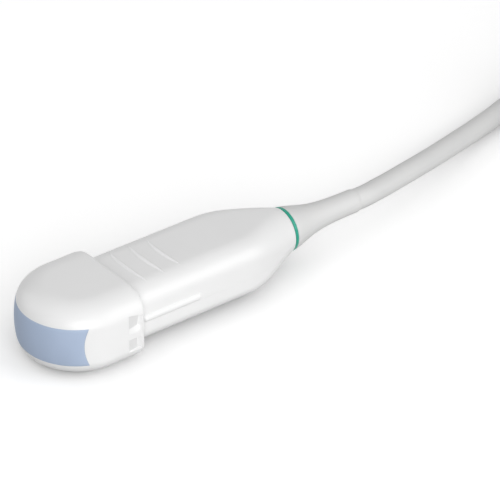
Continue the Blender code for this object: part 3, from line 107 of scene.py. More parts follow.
# %% The lead's points
ARC_Y = -52.995
MID_Z = 14.5
CABLE_DIAMETER = 8.5
BOOT_END = 129.04
GAP = 0.3
FALL = MID_Z - CABLE_DIAMETER / 2 - GAP
LEAD_ROUTE = (
    (0.0, 0.0, 0.0), (-0.4, 4.0, 0.02), (-1.4, 8.5, 0.055), (-2.5, 13.4, 0.1), (-5.2, 23.4, 0.2),
    (-8.3, 33.9, 0.325), (-11.8, 44.8, 0.47), (-15.6, 56.1, 0.615), (-19.6, 67.6, 0.76), (-23.4, 79.0, 0.875),
    (-26.9, 90.1, 0.93), (-30.0, 101.6, 0.895), (-31.5, 109.3, 0.895), (-32.0, 117.1, 0.895),
    (-32.0, 120.5, 0.895),
)
boot_tip = Vector((0.0, ARC_Y + BOOT_END + GAP, MID_Z))
lead_start = boot_tip + Vector((0.0, CABLE_DIAMETER / 10, 0.0))
lead = [lead_start + Vector((x, y, -FALL * fall)) for x, y, fall in LEAD_ROUTE]
print("lead runs to", [round(v, 1) for v in lead[-1]])

# %% The coil's turns and the tail
NEAR_FOLD = Vector((-2.25, 220.635))
COIL_RUN = 68.0
FAR_FOLD = NEAR_FOLD + Vector((0.0, COIL_RUN))
MEAN_RADIUS = 25.5
FOLD = math.pi * MEAN_RADIUS
TURN = 2 * (COIL_RUN + FOLD)
ROOM_FOR_STRAPS = 1.3
LOWEST_LAYER = ROOM_FOR_STRAPS + CABLE_DIAMETER / 2
COIL_TURNS = 5
EXIT_ANGLE = 27.0
COLUMN_STEPS = ((0, 0), (305, 0), (355, 1), (1235, 1), (1280, 0), (1900, 0))
LAYER_STEPS = ((0, 0), (615, 0), (660, 1), (925, 1), (970, 2), (1548, 2), (1590, 1), (1900, 1))
TAIL_START = Vector((-18.343, 322.581))
TAIL_ROUTE = ((0.0, 0.0), (2.04, 4.93), (3.29, 10.12), (3.71, 15.44), (3.75, 19.0))
INTO_BOOT = 1.5
INTO_SLEEVE = 1.2


def eased(steps, turned):
    """A value that waits at each step and moves smoothly from one to the next."""
    for (start, low), (end, high) in zip(steps, steps[1:]):
        if turned <= end:
            u = (turned - start) / (end - start)
            return low + (high - low) * (3 * u * u - 2 * u ** 3)
    return steps[-1][1]


def on_long_turn(turned, radius):
    """Place on the coil at degrees of a turn from where the lead meets it, clockwise, at a fold radius."""
    distance = (turned % 360) / 360 * TURN
    if distance < COIL_RUN:
        return Vector((NEAR_FOLD.x - radius, NEAR_FOLD.y + distance))
    if distance < COIL_RUN + FOLD:
        angle = math.pi - (distance - COIL_RUN) / MEAN_RADIUS
        return FAR_FOLD + radius * Vector((math.cos(angle), math.sin(angle)))
    if distance < 2 * COIL_RUN + FOLD:
        return Vector((NEAR_FOLD.x + radius, FAR_FOLD.y - (distance - COIL_RUN - FOLD)))
    angle = -(distance - 2 * COIL_RUN - FOLD) / MEAN_RADIUS
    return NEAR_FOLD + radius * Vector((math.cos(angle), math.sin(angle)))


def coil_points(spacing):
    """From where the lead meets the coil to where the tail leaves its far fold, five turns later."""
    last = COIL_TURNS * 360 + (COIL_RUN + math.radians(EXIT_ANGLE) * MEAN_RADIUS) / TURN * 360
    count = round(last / 360 * TURN / spacing)
    found = []
    for step in range(count + 1):
        turned = last * step / count
        radius = MEAN_RADIUS + CABLE_DIAMETER * (0.5 - eased(COLUMN_STEPS, turned))
        height = LOWEST_LAYER + CABLE_DIAMETER * eased(LAYER_STEPS, turned)
        found.append(Vector((*on_long_turn(turned, radius), height)))
    return found


tail = [Vector((*(TAIL_START + Vector(point)), LOWEST_LAYER + CABLE_DIAMETER)) for point in TAIL_ROUTE]
tail.append(tail[-1] + Vector((0.0, INTO_SLEEVE, 0.0)))
inside_boot = boot_tip - Vector((0.0, INTO_BOOT, 0.0))
route = [inside_boot, boot_tip, *lead, *coil_points(CABLE_DIAMETER), *tail]
cable_length = sum((q - p).length for p, q in zip(route, route[1:])) * MM
print(f"cable route: {len(route)} points, {cable_length:.3f} m")

# %% [markdown]
# ## The cable itself
#
# The real one is a round jacket, extruded over a hundred thin coaxial wires, so its section never changes. A
# Blender curve with a round bevel is exactly that: a section pushed along a line. Bezier points with
# automatic handles keep the line smooth between the route's points, where straight pieces would show corners.

# %% A curve along the route
def round_curve(name, points, diameter):
    """A round cable of a diameter along a smooth line through the points, with closed ends."""
    data = bpy.data.curves.new(name, "CURVE")
    data.dimensions = "3D"
    data.bevel_depth = diameter / 2 * MM
    data.bevel_resolution = 8
    data.resolution_u = 5
    data.use_fill_caps = True
    spline = data.splines.new("BEZIER")
    spline.bezier_points.add(len(points) - 1)
    for knot, place in zip(spline.bezier_points, points):
        knot.co = place * MM
        knot.handle_left_type = knot.handle_right_type = "AUTO"
    return into_scene(name, data)


cable = round_curve("probe_cable", route, CABLE_DIAMETER)

# %% [markdown]
# ## Colours and a way to add nodes
#
# Colours are written as sRGB hex values, as a colour picker shows them, and turned into the linear light
# values that a renderer needs. One small function adds a node with its settings and its inputs. An input is
# found by its name or its number, and it is a plain value or the output of another node to link to it.

# %% Colour and node helpers
def linear(hex_colour):
    """An sRGB hex colour as linear RGBA."""
    parts = [int(hex_colour[i:i + 2], 16) / 255 for i in (1, 3, 5)]
    return (*[p / 12.92 if p <= 0.04045 else ((p + 0.055) / 1.055) ** 2.4 for p in parts], 1.0)


def add_node(tree, kind, settings=None, inputs=None):
    """Adds a node. Settings are its attributes; inputs are values, or outputs to link."""
    node = tree.nodes.new(kind)
    for name, value in (settings or {}).items():
        setattr(node, name, value)
    for name, value in (inputs or {}).items():
        if isinstance(value, bpy.types.NodeSocket):
            tree.links.new(value, node.inputs[name])
        else:
            node.inputs[name].default_value = value
    return node


def per_mm(size):
    """The texture scale, in cells per metre, that gives cells of a size in millimetres."""
    return 1.0 / (size * MM)


print("white plastic in linear light:", [round(v, 3) for v in linear("#E4E4E2")[:3]])

# %% [markdown]
# ## A mottled, grained surface
#
# Moulded plastic, rubber and resin are nearly one colour, but never quite: the tint drifts over centimetres,
# the gloss drifts with it, and the mould's fine grain breaks up the highlight. The next function gives a
# material these three things from real sizes. Two noise textures do it: a slow one for the drift, and a fine
# one for the grain, which only bends the surface's light (a bump) and doesn't paint it.

# %% A function for moulded and cast surfaces
GLOSS_DRIFT = 0.06


def grained_finish(name, dark, light, roughness, drift, grain, relief, **sockets):
    """Two near colours that drift over a size in mm, with the gloss, and a fine grain of some relief."""
    finish = bpy.data.materials.new(name)
    finish.use_nodes = True
    tree = finish.node_tree
    shader = tree.nodes["Principled BSDF"]
    for socket, value in sockets.items():
        shader.inputs[socket].default_value = value
    place = add_node(tree, "ShaderNodeTexCoord").outputs["Object"]
    slow = add_node(tree, "ShaderNodeTexNoise",
                    inputs={"Vector": place, "Scale": per_mm(drift), "Detail": 3.0}).outputs["Fac"]
    tint = add_node(tree, "ShaderNodeMix", {"data_type": "RGBA"},
                    {"Factor": slow, 6: linear(dark), 7: linear(light)})
    tree.links.new(tint.outputs[2], shader.inputs["Base Color"])
    gloss = add_node(tree, "ShaderNodeMapRange", inputs={
        "Value": slow, "From Min": 0.3, "From Max": 0.7,
        "To Min": roughness - GLOSS_DRIFT / 2, "To Max": roughness + GLOSS_DRIFT / 2})
    tree.links.new(gloss.outputs["Result"], shader.inputs["Roughness"])
    fine = add_node(tree, "ShaderNodeTexNoise",
                    inputs={"Vector": place, "Scale": per_mm(grain), "Detail": 2.0})
    bump = add_node(tree, "ShaderNodeBump", inputs={
        "Height": fine.outputs["Fac"], "Distance": relief * MM, "Strength": 1.0})
    tree.links.new(bump.outputs["Normal"], shader.inputs["Normal"])
    return finish


# %% [markdown]
# ## The probe's own finishes
#
# Housing: white ABS, moulded in a finely eroded steel mould. It gives the eye a soft, slightly broken
# highlight on a neutral white. ABS has an index of refraction of about 1.54. The floors of the bracket
# recesses are rougher, and their colour is a tone darker: painted shade of the recess.
#
# Window: silicone rubber, cast over the array and left matt so that gel clings to it. It is pale blue all
# through and scatters light inside, which softens its shading. Silicone's index is about 1.41.
#
# Band: teal PBT, moulded, with a dull gloss. Boot and cable: a soft, matt grey elastomer.

# %% Finishes for housing, window, band, boot and cable
moulded_abs = grained_finish("moulded_white_abs", "#E2E2E2", "#E8E8E8", 0.34, 22.0, 0.6, 0.004, IOR=1.54)
# Recess floors: rougher, and a tone darker than the housing as painted shade.
rough_abs_painted_shade = grained_finish("rough_white_abs_painted_shade", "#D3D3D3", "#DADADA", 0.6, 9.0, 0.3, 0.03, IOR=1.54)
cast_silicone = grained_finish("cast_blue_silicone", "#A2B1C8", "#AAB9D0", 0.55, 9.0, 0.35, 0.006, IOR=1.41)
moulded_pbt = grained_finish("moulded_teal_pbt", "#009078", "#009880", 0.38, 5.0, 0.4, 0.004, IOR=1.55)
soft_boot = grained_finish("moulded_grey_elastomer", "#CECECE", "#D6D6D5", 0.5, 12.0, 0.5, 0.006, IOR=1.5)
extruded_jacket = grained_finish("extruded_grey_jacket", "#CDCDCD", "#D5D5D4", 0.48, 16.0, 0.7, 0.008,
                                 IOR=1.5)
print("finishes so far:", [finish.name for finish in bpy.data.materials if finish.name.startswith("moulded")])

# %% [markdown]
# ## From grids of points to one closed mesh
#
# Every shell here is built from grids: rows of points, as if a net were laid over the part. A grid can be
# calculated to follow an edge exactly, which sculpting or a Boolean can't promise. Grids that share an edge
# are merged along it, so the shell ends up as one closed skin with clean, even faces.

# %% Skins
SHARP_EDGE = math.radians(35.0)
MERGE_WITHIN = 2e-6


def skin(name, grids, surface):
    """One mesh from grids of points in millimetres, merged along their common edges."""
    points, quads, count = [], [], 0
    for grid in grids:
        grid = np.asarray(grid, float)
        rows, columns = grid.shape[:2]
        index = count + np.arange(rows * columns).reshape(rows, columns)
        corners = (index[:-1, :-1], index[1:, :-1], index[1:, 1:], index[:-1, 1:])
        quads.append(np.stack(corners, axis=-1).reshape(-1, 4))
        points.append(grid.reshape(-1, 3))
        count += rows * columns
    mesh = bpy.data.meshes.new(name)
    mesh.from_pydata((np.concatenate(points) * MM).tolist(), [], np.concatenate(quads).tolist())
    bm = bmesh.new()
    bm.from_mesh(mesh)
    bmesh.ops.remove_doubles(bm, verts=bm.verts, dist=MERGE_WITHIN)
    bmesh.ops.dissolve_degenerate(bm, edges=bm.edges, dist=1e-7)
    bmesh.ops.delete(bm, geom=[edge for edge in bm.edges if edge.is_wire], context="EDGES")
    bmesh.ops.recalc_face_normals(bm, faces=bm.faces)
    open_edges = sum(1 for edge in bm.edges if not edge.is_manifold)
    bm.to_mesh(mesh)
    bm.free()
    mesh.shade_smooth()
    mesh.set_sharp_from_angle(angle=SHARP_EDGE)
    mesh.materials.append(surface)
    print(f"{name}: {len(mesh.polygons)} faces, {open_edges} open edges")
    return into_scene(name, mesh)


def between(first, last, steps):
    """Grid from one row of points to another, in even steps."""
    first, last = np.asarray(first, float), np.asarray(last, float)
    return np.stack([first + (last - first) * step / steps for step in range(steps + 1)])


def walled(outside, inside):
    """Grids of a closed wall: two nets of the same size, and the strips that join their four edges."""
    ends = [np.stack([outside[i], inside[i]]) for i in (0, -1)]
    sides = [np.stack([outside[:, i], inside[:, i]]) for i in (0, -1)]
    return [outside, inside, *ends, *sides]


def smooth_step(values, edge, width):
    """0 before an edge and 1 after it, with a smooth rise of a width."""
    u = np.clip((np.asarray(values, float) - edge) / width + 0.5, 0.0, 1.0)
    return u * u * (3 - 2 * u)


# %% [markdown]
# ## The head
#
# The head is a nosepiece, moulded in one piece: half round at the front, where the window is, with elliptical
# corners above and below, and a broad rounded rim behind, broadest at the corners. Its side carries two
# shallow recesses in which a needle guide bracket snaps: their floors go deeper towards the cable and end in
# a ramp, and the upper one has a long slope below.
#
# Its net has columns that go round the head from the right rim to the left one, and rows that go down its
# side. The columns near the window bend with the window's curved ends, so that the window's edge is a line of
# the net. The recesses are pressed into the net as a height field: a number between 0 and 1 says how far each
# point sinks.

# %% Sizes of the head
HEAD_HALF_WIDTH = 22.3
HEAD_HALF_HEIGHT = 14.5
HEAD_FLAT_X = 11.3
HEAD_FLAT_Z = 6.5
HEAD_WALL = 2.2
HEAD_REAR_WALL = 2.0
RIM_END = 13.9
RIM_BROAD_END = 14.2
RIM_CORNER_END = 14.6
RIM_LENGTH = 1.4
RIM_CORNER_LENGTH = 2.3
RIM_DROP = 0.75
RIM_CREASE = math.radians(25.0)
INNER_RIM_LENGTH = 0.2
WINDOW_HALF_HEIGHT = 7.8
WINDOW_HALF_ANGLE = math.radians(65.8)
WINDOW_END_DIP = math.radians(4.8)
SEAM = 0.03

# %% Rows down the head's side
FINE_FROM_ANGLE = 11.5
FINE_TO_HEIGHT = 1.9
coarse_corner = np.linspace(90.0, FINE_FROM_ANGLE, 15)
fine_corner = np.degrees(np.arcsin((np.linspace(WINDOW_HALF_HEIGHT, HEAD_FLAT_Z, 11) - HEAD_FLAT_Z)
                                   / (HEAD_HALF_HEIGHT - HEAD_FLAT_Z)))
corner_angles = np.radians(np.concatenate([coarse_corner, fine_corner]))
fine_side = np.linspace(HEAD_FLAT_Z, FINE_TO_HEIGHT, 37)[1:]
middle_side = np.linspace(FINE_TO_HEIGHT, -FINE_TO_HEIGHT, 13)[1:-1]
side_heights = np.concatenate([fine_side, middle_side, -fine_side[::-1]])
corner_share = np.concatenate([np.sin(2 * corner_angles) ** 2, np.zeros(len(side_heights)),
                               np.sin(2 * corner_angles[::-1]) ** 2])


def head_profile(inset):
    """Reach and height of each row, from the top flat's edge to the bottom flat's edge."""
    reach = HEAD_HALF_WIDTH - inset - HEAD_FLAT_X
    rise = HEAD_HALF_HEIGHT - inset - HEAD_FLAT_Z
    corner = np.stack([HEAD_FLAT_X + reach * np.cos(corner_angles),
                       HEAD_FLAT_Z + rise * np.sin(corner_angles)], 1)
    side = np.stack([np.full(len(side_heights), HEAD_FLAT_X + reach), side_heights], 1)
    return np.concatenate([corner, side, corner[::-1] * (1, -1)])


window_top = len(coarse_corner)
window_bottom = len(head_profile(0.0)) - 1 - window_top
print("rows:", len(head_profile(0.0)), "window from", window_top, "to", window_bottom)

# %% Columns round the head
RIM_STEPS = 10
rim_angles = np.linspace(math.pi / 2, RIM_CREASE, RIM_STEPS + 1)
SIDE_END = RIM_END - RIM_LENGTH
FINE_TO_STATION = 6.6
side_stations = np.concatenate([np.linspace(SIDE_END, FINE_TO_STATION, 49),
                                np.linspace(FINE_TO_STATION, 0.0, 9)[1:]])
SHOULDER_STEPS = 12
WINDOW_STEPS = 96


def window_end(height):
    """Angle of the window's end at a height. The end is hollow: it dips towards the middle of the window."""
    t = np.clip(np.asarray(height) / WINDOW_HALF_HEIGHT, -1.0, 1.0)
    return WINDOW_HALF_ANGLE - WINDOW_END_DIP * (1 - t * t)


def head_column(profile, station=None, shoulder=None, window=None):
    """Points of one column at the right side: at a station, on the shoulder, or across the window."""
    reach, height = profile[:, 0], profile[:, 1]
    if station is not None:
        return np.stack([reach, ARC_Y + station + 0 * reach, MID_Z + height], 1)
    end = window_end(height)
    angle = math.pi / 2 - shoulder * (math.pi / 2 - end) if window is None else window * end
    return np.stack([reach * np.sin(angle), ARC_Y - reach * np.cos(angle), MID_Z + height], 1)


def head_net(inset, rear, rim_length, rim_drop):
    """Columns from the right rim round the front to the left one, with rear and rim length row by row."""
    columns = []
    profile = head_profile(inset)
    rim_start = rear - rim_length
    for angle in rim_angles[:-1]:
        along = (math.sin(angle) - math.sin(RIM_CREASE)) / (1 - math.sin(RIM_CREASE))
        drop = rim_drop * (1 - math.cos(angle) / math.cos(RIM_CREASE))
        columns.append(head_column(head_profile(inset + drop), station=rim_start + rim_length * along))
    columns += [head_column(profile, station=s * rim_start / SIDE_END) for s in side_stations]
    columns += [head_column(profile, shoulder=i / SHOULDER_STEPS) for i in range(1, SHOULDER_STEPS + 1)]
    columns += [head_column(profile, window=1 - 2 * i / WINDOW_STEPS) for i in range(1, WINDOW_STEPS)]
    right_side = columns[:-(WINDOW_STEPS - 1)]
    columns += [column * (-1, 1, 1) for column in right_side[::-1]]
    return np.stack(columns)


# %% Press the bracket recesses into the side
RECESS_FRONT = 6.9
RECESS_START_DEPTH = 0.35
RECESS_DEEPENING = 0.17
RECESS_SLOPE_TOP = 2.3
RECESS_LOW = 2.5
RECESS_HIGH = 7.6
RECESS_TOP_FALL = 0.21
RECESS_RAMP = 1.3
RECESS_WALL = 0.26
UPPER_RAMP_END, UPPER_RAMP_LEAN = 12.4, 0.17
LOWER_RAMP_END, LOWER_RAMP_LEAN = 12.2, 0.06


def recess_floor(station):
    """How far from the mid-plane a recess floor lies at a station."""
    return HEAD_HALF_WIDTH - RECESS_START_DEPTH - RECESS_DEEPENING * (station - RECESS_FRONT)


def recess_share(station, height):
    """0 on the head's side, 1 on a recess floor, and between them on a wall, the slope or a ramp."""
    front = smooth_step(station, RECESS_FRONT, RECESS_WALL)
    top = RECESS_HIGH - RECESS_TOP_FALL * (station - RECESS_FRONT)
    upper = (1 - smooth_step(height, top, RECESS_WALL)) * np.clip(height / RECESS_SLOPE_TOP, 0.0, 1.0)
    upper_end = UPPER_RAMP_END + UPPER_RAMP_LEAN * (height - RECESS_SLOPE_TOP)
    upper *= np.clip((upper_end - station) / RECESS_RAMP, 0.0, 1.0)
    lower = smooth_step(-height, RECESS_LOW, RECESS_WALL)
    lower *= 1 - smooth_step(-height, RECESS_HIGH, RECESS_WALL)
    lower_end = LOWER_RAMP_END - LOWER_RAMP_LEAN * (height + RECESS_LOW)
    lower *= np.clip((lower_end - station) / RECESS_RAMP, 0.0, 1.0)
    return front * (upper + lower)


row_height = np.abs(head_profile(0.0)[:, 1]) / HEAD_HALF_HEIGHT
rim_ends = RIM_END + (RIM_BROAD_END - RIM_END) * row_height ** 2
rim_ends += (RIM_CORNER_END - RIM_BROAD_END) * corner_share
rim_lengths = RIM_LENGTH + (RIM_CORNER_LENGTH - RIM_LENGTH) * corner_share
outer = head_net(0.0, rim_ends, rim_lengths, RIM_DROP)
outer_station = outer[..., 1] - ARC_Y
sink = recess_share(outer_station, outer[..., 2] - MID_Z)
beyond_floor = np.clip(np.abs(outer[..., 0]) - recess_floor(outer_station), 0.0, None)
outer[..., 0] -= np.sign(outer[..., 0]) * sink * beyond_floor
inner = head_net(HEAD_WALL, RIM_END - HEAD_REAR_WALL, INNER_RIM_LENGTH, 0.0)
print("head net:", outer.shape, "deepest recess point", round(float((sink * beyond_floor).max()), 2), "mm")

# %% [markdown]
# The mouth in the head's rear face is shaped by the handle that goes into it, so the handle's section comes
# first: a rectangle with elliptical corners along the grip, which fades into a circle at the neck.

# %% The handle's section
HANDLE_HALF_WIDTH = 17.4
HANDLE_HALF_HEIGHT = 11.75
HANDLE_FLAT_X = 8.9
HANDLE_FLAT_Z = 5.15
TAPER_START = 65.5
NECK_STATION = 93.6
NECK_RADIUS = 8.8
NECK_SLOPE = -0.36
BELLY_START = 60.0
BELLY_DROP = 0.3


def handle_sizes(station):
    """Half width, half height, the flats and the centre's height of the handle's section at a station."""
    u = min(max((station - TAPER_START) / (NECK_STATION - TAPER_START), 0.0), 1.0)
    fade = 1 - 3 * u ** 2 + 2 * u ** 3
    arrive = (u ** 3 - u ** 2) * (NECK_STATION - TAPER_START) * NECK_SLOPE
    half_width = HANDLE_HALF_WIDTH * fade + NECK_RADIUS * (1 - fade) + arrive
    half_height = HANDLE_HALF_HEIGHT * fade + NECK_RADIUS * (1 - fade) + arrive
    v = min(max((station - BELLY_START) / (NECK_STATION - BELLY_START), 0.0), 1.0)
    centre = MID_Z - BELLY_DROP * math.sin(math.pi * v) ** 2
    return half_width, half_height, HANDLE_FLAT_X * fade, HANDLE_FLAT_Z * fade, centre


def handle_outline(station, grow, count=1440):
    """The handle's section at a station as many points, counted from the right side upwards."""
    half_width, half_height, flat_x, flat_z, centre = handle_sizes(station)
    quarter = np.linspace(0, math.pi / 2, count // 4)
    x = flat_x + (half_width + grow - flat_x) * np.cos(quarter)
    z = flat_z + (half_height + grow - flat_z) * np.sin(quarter)
    upper = np.concatenate([np.stack([x, z], 1), np.stack([-x, z], 1)[::-1]])
    outline = np.concatenate([upper, -upper, upper[:1]])
    return outline + (0.0, centre)


print("handle's section at the neck:", [round(size, 2) for size in handle_sizes(NECK_STATION)])

# %% [markdown]
# The head's net has to be closed: strips across the flat top and bottom, the rear face with the mouth, the
# edge of the window's hole, and a second net inside at the wall's thickness.

# %% Lines and strips that close the head
MOUTH_CLEARANCE = 0.08
FLAT_STEPS = 14


def across_flats(net):
    """Strips over the top and bottom flats, from each column to its mirror image."""
    half = (len(net) + 1) // 2
    mirrored = net[::-1]
    strips = []
    for row in (0, -1):
        strips.append(np.stack([between(net[i, row], mirrored[i, row], FLAT_STEPS) for i in range(half)]))
    return strips


def end_loop(net):
    """The closed line round a net's rear end: down the right, across, up the left, and back across."""
    right_side, left_side = net[0], net[-1]
    bottom = between(right_side[-1], left_side[-1], FLAT_STEPS)
    top = between(left_side[0], right_side[0], FLAT_STEPS)
    return np.concatenate([right_side, bottom[1:-1], left_side[::-1], top[1:]])


def mouth_loop(loop, stations):
    """The mouth's line at stations, one point for each point of a loop round it, in the same direction."""
    outline = handle_outline(RIM_END, MOUTH_CLEARANCE)
    bearings = np.unwrap(np.arctan2(outline[:, 1] - MID_Z, outline[:, 0]))
    wanted = np.arctan2(loop[:, 2] - MID_Z, loop[:, 0])
    wanted = bearings[0] + (wanted - bearings[0]) % (2 * math.pi)
    x = np.interp(wanted, bearings, outline[:, 0])
    z = np.interp(wanted, bearings, outline[:, 1])
    return np.stack([x, ARC_Y + stations, z], 1)


def without_window(net):
    """The net's parts round the window's hole."""
    first = RIM_STEPS + len(side_stations) + SHOULDER_STEPS - 1
    last = len(net) - 1 - first
    over = slice(first, last + 1)
    parts = [net[:first + 1], net[last:], net[over, :window_top + 1], net[over, window_bottom:]]
    edge = [net[first, window_top:window_bottom + 1], net[over, window_bottom],
            net[last, window_top:window_bottom + 1], net[over, window_top]]
    return parts, edge


# %% Join the head's grids
FLOOR_TOLERANCE = 0.03
FLOOR_SHARE = 0.96
outer_parts, outer_edge = without_window(outer)
inner_parts, inner_edge = without_window(inner)
rear_loop, cavity_loop = end_loop(outer), end_loop(inner)
mouth = mouth_loop(rear_loop, rear_loop[:, 1] - ARC_Y)
mouth_inside = mouth_loop(rear_loop, np.full(len(rear_loop), RIM_END - HEAD_REAR_WALL))
head_grids = outer_parts + inner_parts + across_flats(outer) + across_flats(inner)
head_grids += [np.stack(pair) for pair in zip(outer_edge, inner_edge)]
closing_loops = (rear_loop, mouth, mouth_inside, cavity_loop)
head_grids += [np.stack(pair) for pair in zip(closing_loops, closing_loops[1:])]
head_shell = skin("head_housing", head_grids, moulded_abs)
# Second material: the darker white of the recess floors, painted shade.
head_shell.data.materials.append(rough_abs_painted_shade)
on_floor = 0
for face in head_shell.data.polygons:
    x, y, z = face.center / MM
    station, height = y - ARC_Y, z - MID_Z
    beside_floor = abs(abs(x) - recess_floor(station)) < FLOOR_TOLERANCE
    if beside_floor and recess_share(station, height) > FLOOR_SHARE:
        face.material_index = 1
        on_floor += 1
print("faces on the recess floors:", on_floor)

# %% [markdown]
# ## The window
#
# The blue window is a lens for sound: silicone, cast over the array. It stands flush with the housing along
# its edge and is crowned in its middle, so that it presses into the skin. Its edge turns down into a fine
# groove, where the casting meets the housing.

# %% The window's lens
LENS_CROWN = 0.75
LENS_INNER = 20.3
GROOVE_WIDTH = 0.22
GROOVE_DEPTH = 0.07
END_ARC = WINDOW_HALF_ANGLE * HEAD_HALF_WIDTH


def groove_spread(reach, count):
    """Places from 1 to -1 along a reach, close together over the groove at either end."""
    end_lines = 1 - GROOVE_WIDTH / reach * np.linspace(0.0, 1.0, 5)
    middle = np.linspace(end_lines[-1], -end_lines[-1], count)[1:-1]
    return np.concatenate([end_lines, middle, -end_lines[::-1]])


def head_reach(height):
    """How far the head's side stands from its axis at a height above the mid-plane."""
    beyond = np.clip(np.abs(height) - HEAD_FLAT_Z, 0.0, None) / (HEAD_HALF_HEIGHT - HEAD_FLAT_Z)
    return HEAD_FLAT_X + (HEAD_HALF_WIDTH - HEAD_FLAT_X) * np.sqrt(np.clip(1 - beyond ** 2, 0.0, None))


def lens_face(radius_of):
    """Net over the window at a radius that depends on its place."""
    s, t = np.meshgrid(groove_spread(END_ARC, 97), groove_spread(WINDOW_HALF_HEIGHT, 41), indexing="ij")
    height = t * (WINDOW_HALF_HEIGHT - SEAM)
    angle = s * (window_end(height) - SEAM / HEAD_HALF_WIDTH)
    radius = radius_of(s, t, height)
    return np.stack([radius * np.sin(angle), ARC_Y - radius * np.cos(angle), MID_Z + height], -1)


def outer_radius(s, t, height):
    """The crowned face, which turns down into the groove along its edge."""
    to_edge = np.minimum((1 - np.abs(t)) * WINDOW_HALF_HEIGHT, (1 - np.abs(s)) * END_ARC)
    groove = GROOVE_DEPTH * np.clip(1 - to_edge / GROOVE_WIDTH, 0.0, 1.0) ** 2
    return head_reach(height) + LENS_CROWN * (1 - t * t) * (1 - s ** 8) - groove


front = lens_face(outer_radius)
rear = lens_face(lambda s, t, height: np.full_like(s, LENS_INNER))
window_lens = skin("window_lens", walled(front, rear), cast_silicone)

# %% [markdown]
# ## The handle
#
# Two moulded shells, parted by a hairline just under the side ribs. Each section is measured along its
# outline and cut at the parting line, and its points are spaced closer where there is detail. Four thin
# crescents on each broad face and a half-round rib on each side tell the fingers where the probe points. They
# are height fields again.

# %% Rows and points of the handle's nets
PARTING_DROP = 1.7
PARTING_HALF_GAP = 0.015
HANDLE_START = 8.7
HANDLE_END = 93.5
HANDLE_WALL = 2.0
END_ROUND = 0.4
STATION_STEP = 0.8
OUTLINE_STEP = 0.6
FINE_STEP = 0.12
CRESCENTS = [(14.4, 12.6), (21.6, 12.2), (29.9, 11.7), (37.5, 10.5)]
CRESCENT_BOW = 1.0
CRESCENT_HALF_WIDTH = 1.05
CRESCENT_HEIGHT = 0.62
RIB_RADIUS = 1.55
RIB_PROUD = 1.0
RIB_FRONT = 16.6
RIB_REAR = 43.0
RIB_ZONE = 4.2


def with_fine_zones(start, end, coarse, fine, zones):
    """Values from start to end with a coarse spacing, and a fine one inside the zones."""
    values, place = [start], start
    while place < end:
        inside = any(low <= place < high for low, high in zones)
        stops = [end] if inside else [end, *[low for low, high in zones if low > place]]
        place = min(place + (fine if inside else coarse), *stops)
        values.append(place)
    return np.array(values)


crescent_zones = [(station - 1.2, station + 2.2) for station, _ in CRESCENTS]
rib_zones = [(RIB_FRONT - 0.2, RIB_FRONT + 1.6), (RIB_REAR - 1.6, RIB_REAR + 0.2)]
LAST_ROW = HANDLE_END - END_ROUND
upper_zones = sorted(crescent_zones + rib_zones)
upper_stations = with_fine_zones(HANDLE_START, LAST_ROW, STATION_STEP, FINE_STEP, upper_zones)
lower_stations = with_fine_zones(HANDLE_START, LAST_ROW, STATION_STEP, FINE_STEP, crescent_zones)
CORNER_LENGTHS = 24.0
outline_length = 2 * (HANDLE_FLAT_X + HANDLE_FLAT_Z) + CORNER_LENGTHS
half_spread = with_fine_zones(0.0, 0.5, OUTLINE_STEP / outline_length, FINE_STEP / outline_length,
                              [(0.0, RIB_ZONE / outline_length)])
upper_spread = np.concatenate([half_spread, 1 - half_spread[::-1][1:]])
lower_spread = np.linspace(0.0, 1.0, 81)
print("handle rows:", len(upper_stations), len(lower_stations))
print("points in a row:", len(upper_spread), len(lower_spread))

# %% Sections cut at the parting line
def shell_outline(station, grow, level, spread):
    """One shell's part of a section, from its right parting edge to its left one."""
    points = handle_outline(station, grow)[:-1]
    parting = MID_Z - PARTING_DROP + level * PARTING_HALF_GAP
    loop = np.roll(points, level * len(points) // 4, axis=0)[::level]
    on_shell = np.flatnonzero((loop[:, 1] - parting) * level > 0)
    piece = loop[on_shell[0] - 1:on_shell[-1] + 2].copy()
    for end, neighbour in ((0, 1), (-1, -2)):
        a, b = piece[end], piece[neighbour]
        piece[end] = b + (a - b) * (parting - b[1]) / (a[1] - b[1])
    lengths = np.concatenate([[0.0], np.cumsum(np.linalg.norm(np.diff(piece, axis=0), axis=1))])
    wanted = spread * lengths[-1]
    return np.stack([np.interp(wanted, lengths, piece[:, 0]), np.interp(wanted, lengths, piece[:, 1])], 1)


# %% Crescents and ribs as height fields
CREST = 0.3
RIB_FOOT = 0.08


def crescent_rise(x, station):
    """Height of the crescents over the broad face: a long slope towards the head and a short one behind."""
    rise = np.zeros_like(x)
    for place, half_length in CRESCENTS:
        swell = np.clip(1 - (x / half_length) ** 2, 1e-4, 1.0)
        across = (station - place - CRESCENT_BOW * (1 - swell)) / (CRESCENT_HALF_WIDTH * swell)
        before = np.clip((across + 1) / (1 + CREST), 0.0, 1.0)
        behind = np.clip((1 - across) / (1 - CREST), 0.0, 1.0)
        u = np.where(across < CREST, before, behind)
        rise += CRESCENT_HEIGHT * np.sqrt(swell) * u * u * (3 - 2 * u) * (np.abs(x) < half_length)
    return rise


def rib_rise(height, station):
    """How far the half-round rib stands out from the side."""
    past_end = max(RIB_FRONT + RIB_RADIUS - station, station - RIB_REAR + RIB_RADIUS)
    past_end = min(max(past_end, 0.0), RIB_RADIUS)
    round_part = np.sqrt(np.clip(RIB_RADIUS ** 2 - past_end ** 2 - height ** 2, 0.0, None))
    proud = round_part - (RIB_RADIUS - RIB_PROUD)
    return 0.5 * (proud + np.sqrt(proud ** 2 + RIB_FOOT ** 2)) * (round_part > 0)


# %% The two shells
FACE_MARGIN = 2.0
SIDE_MARGIN = 0.1


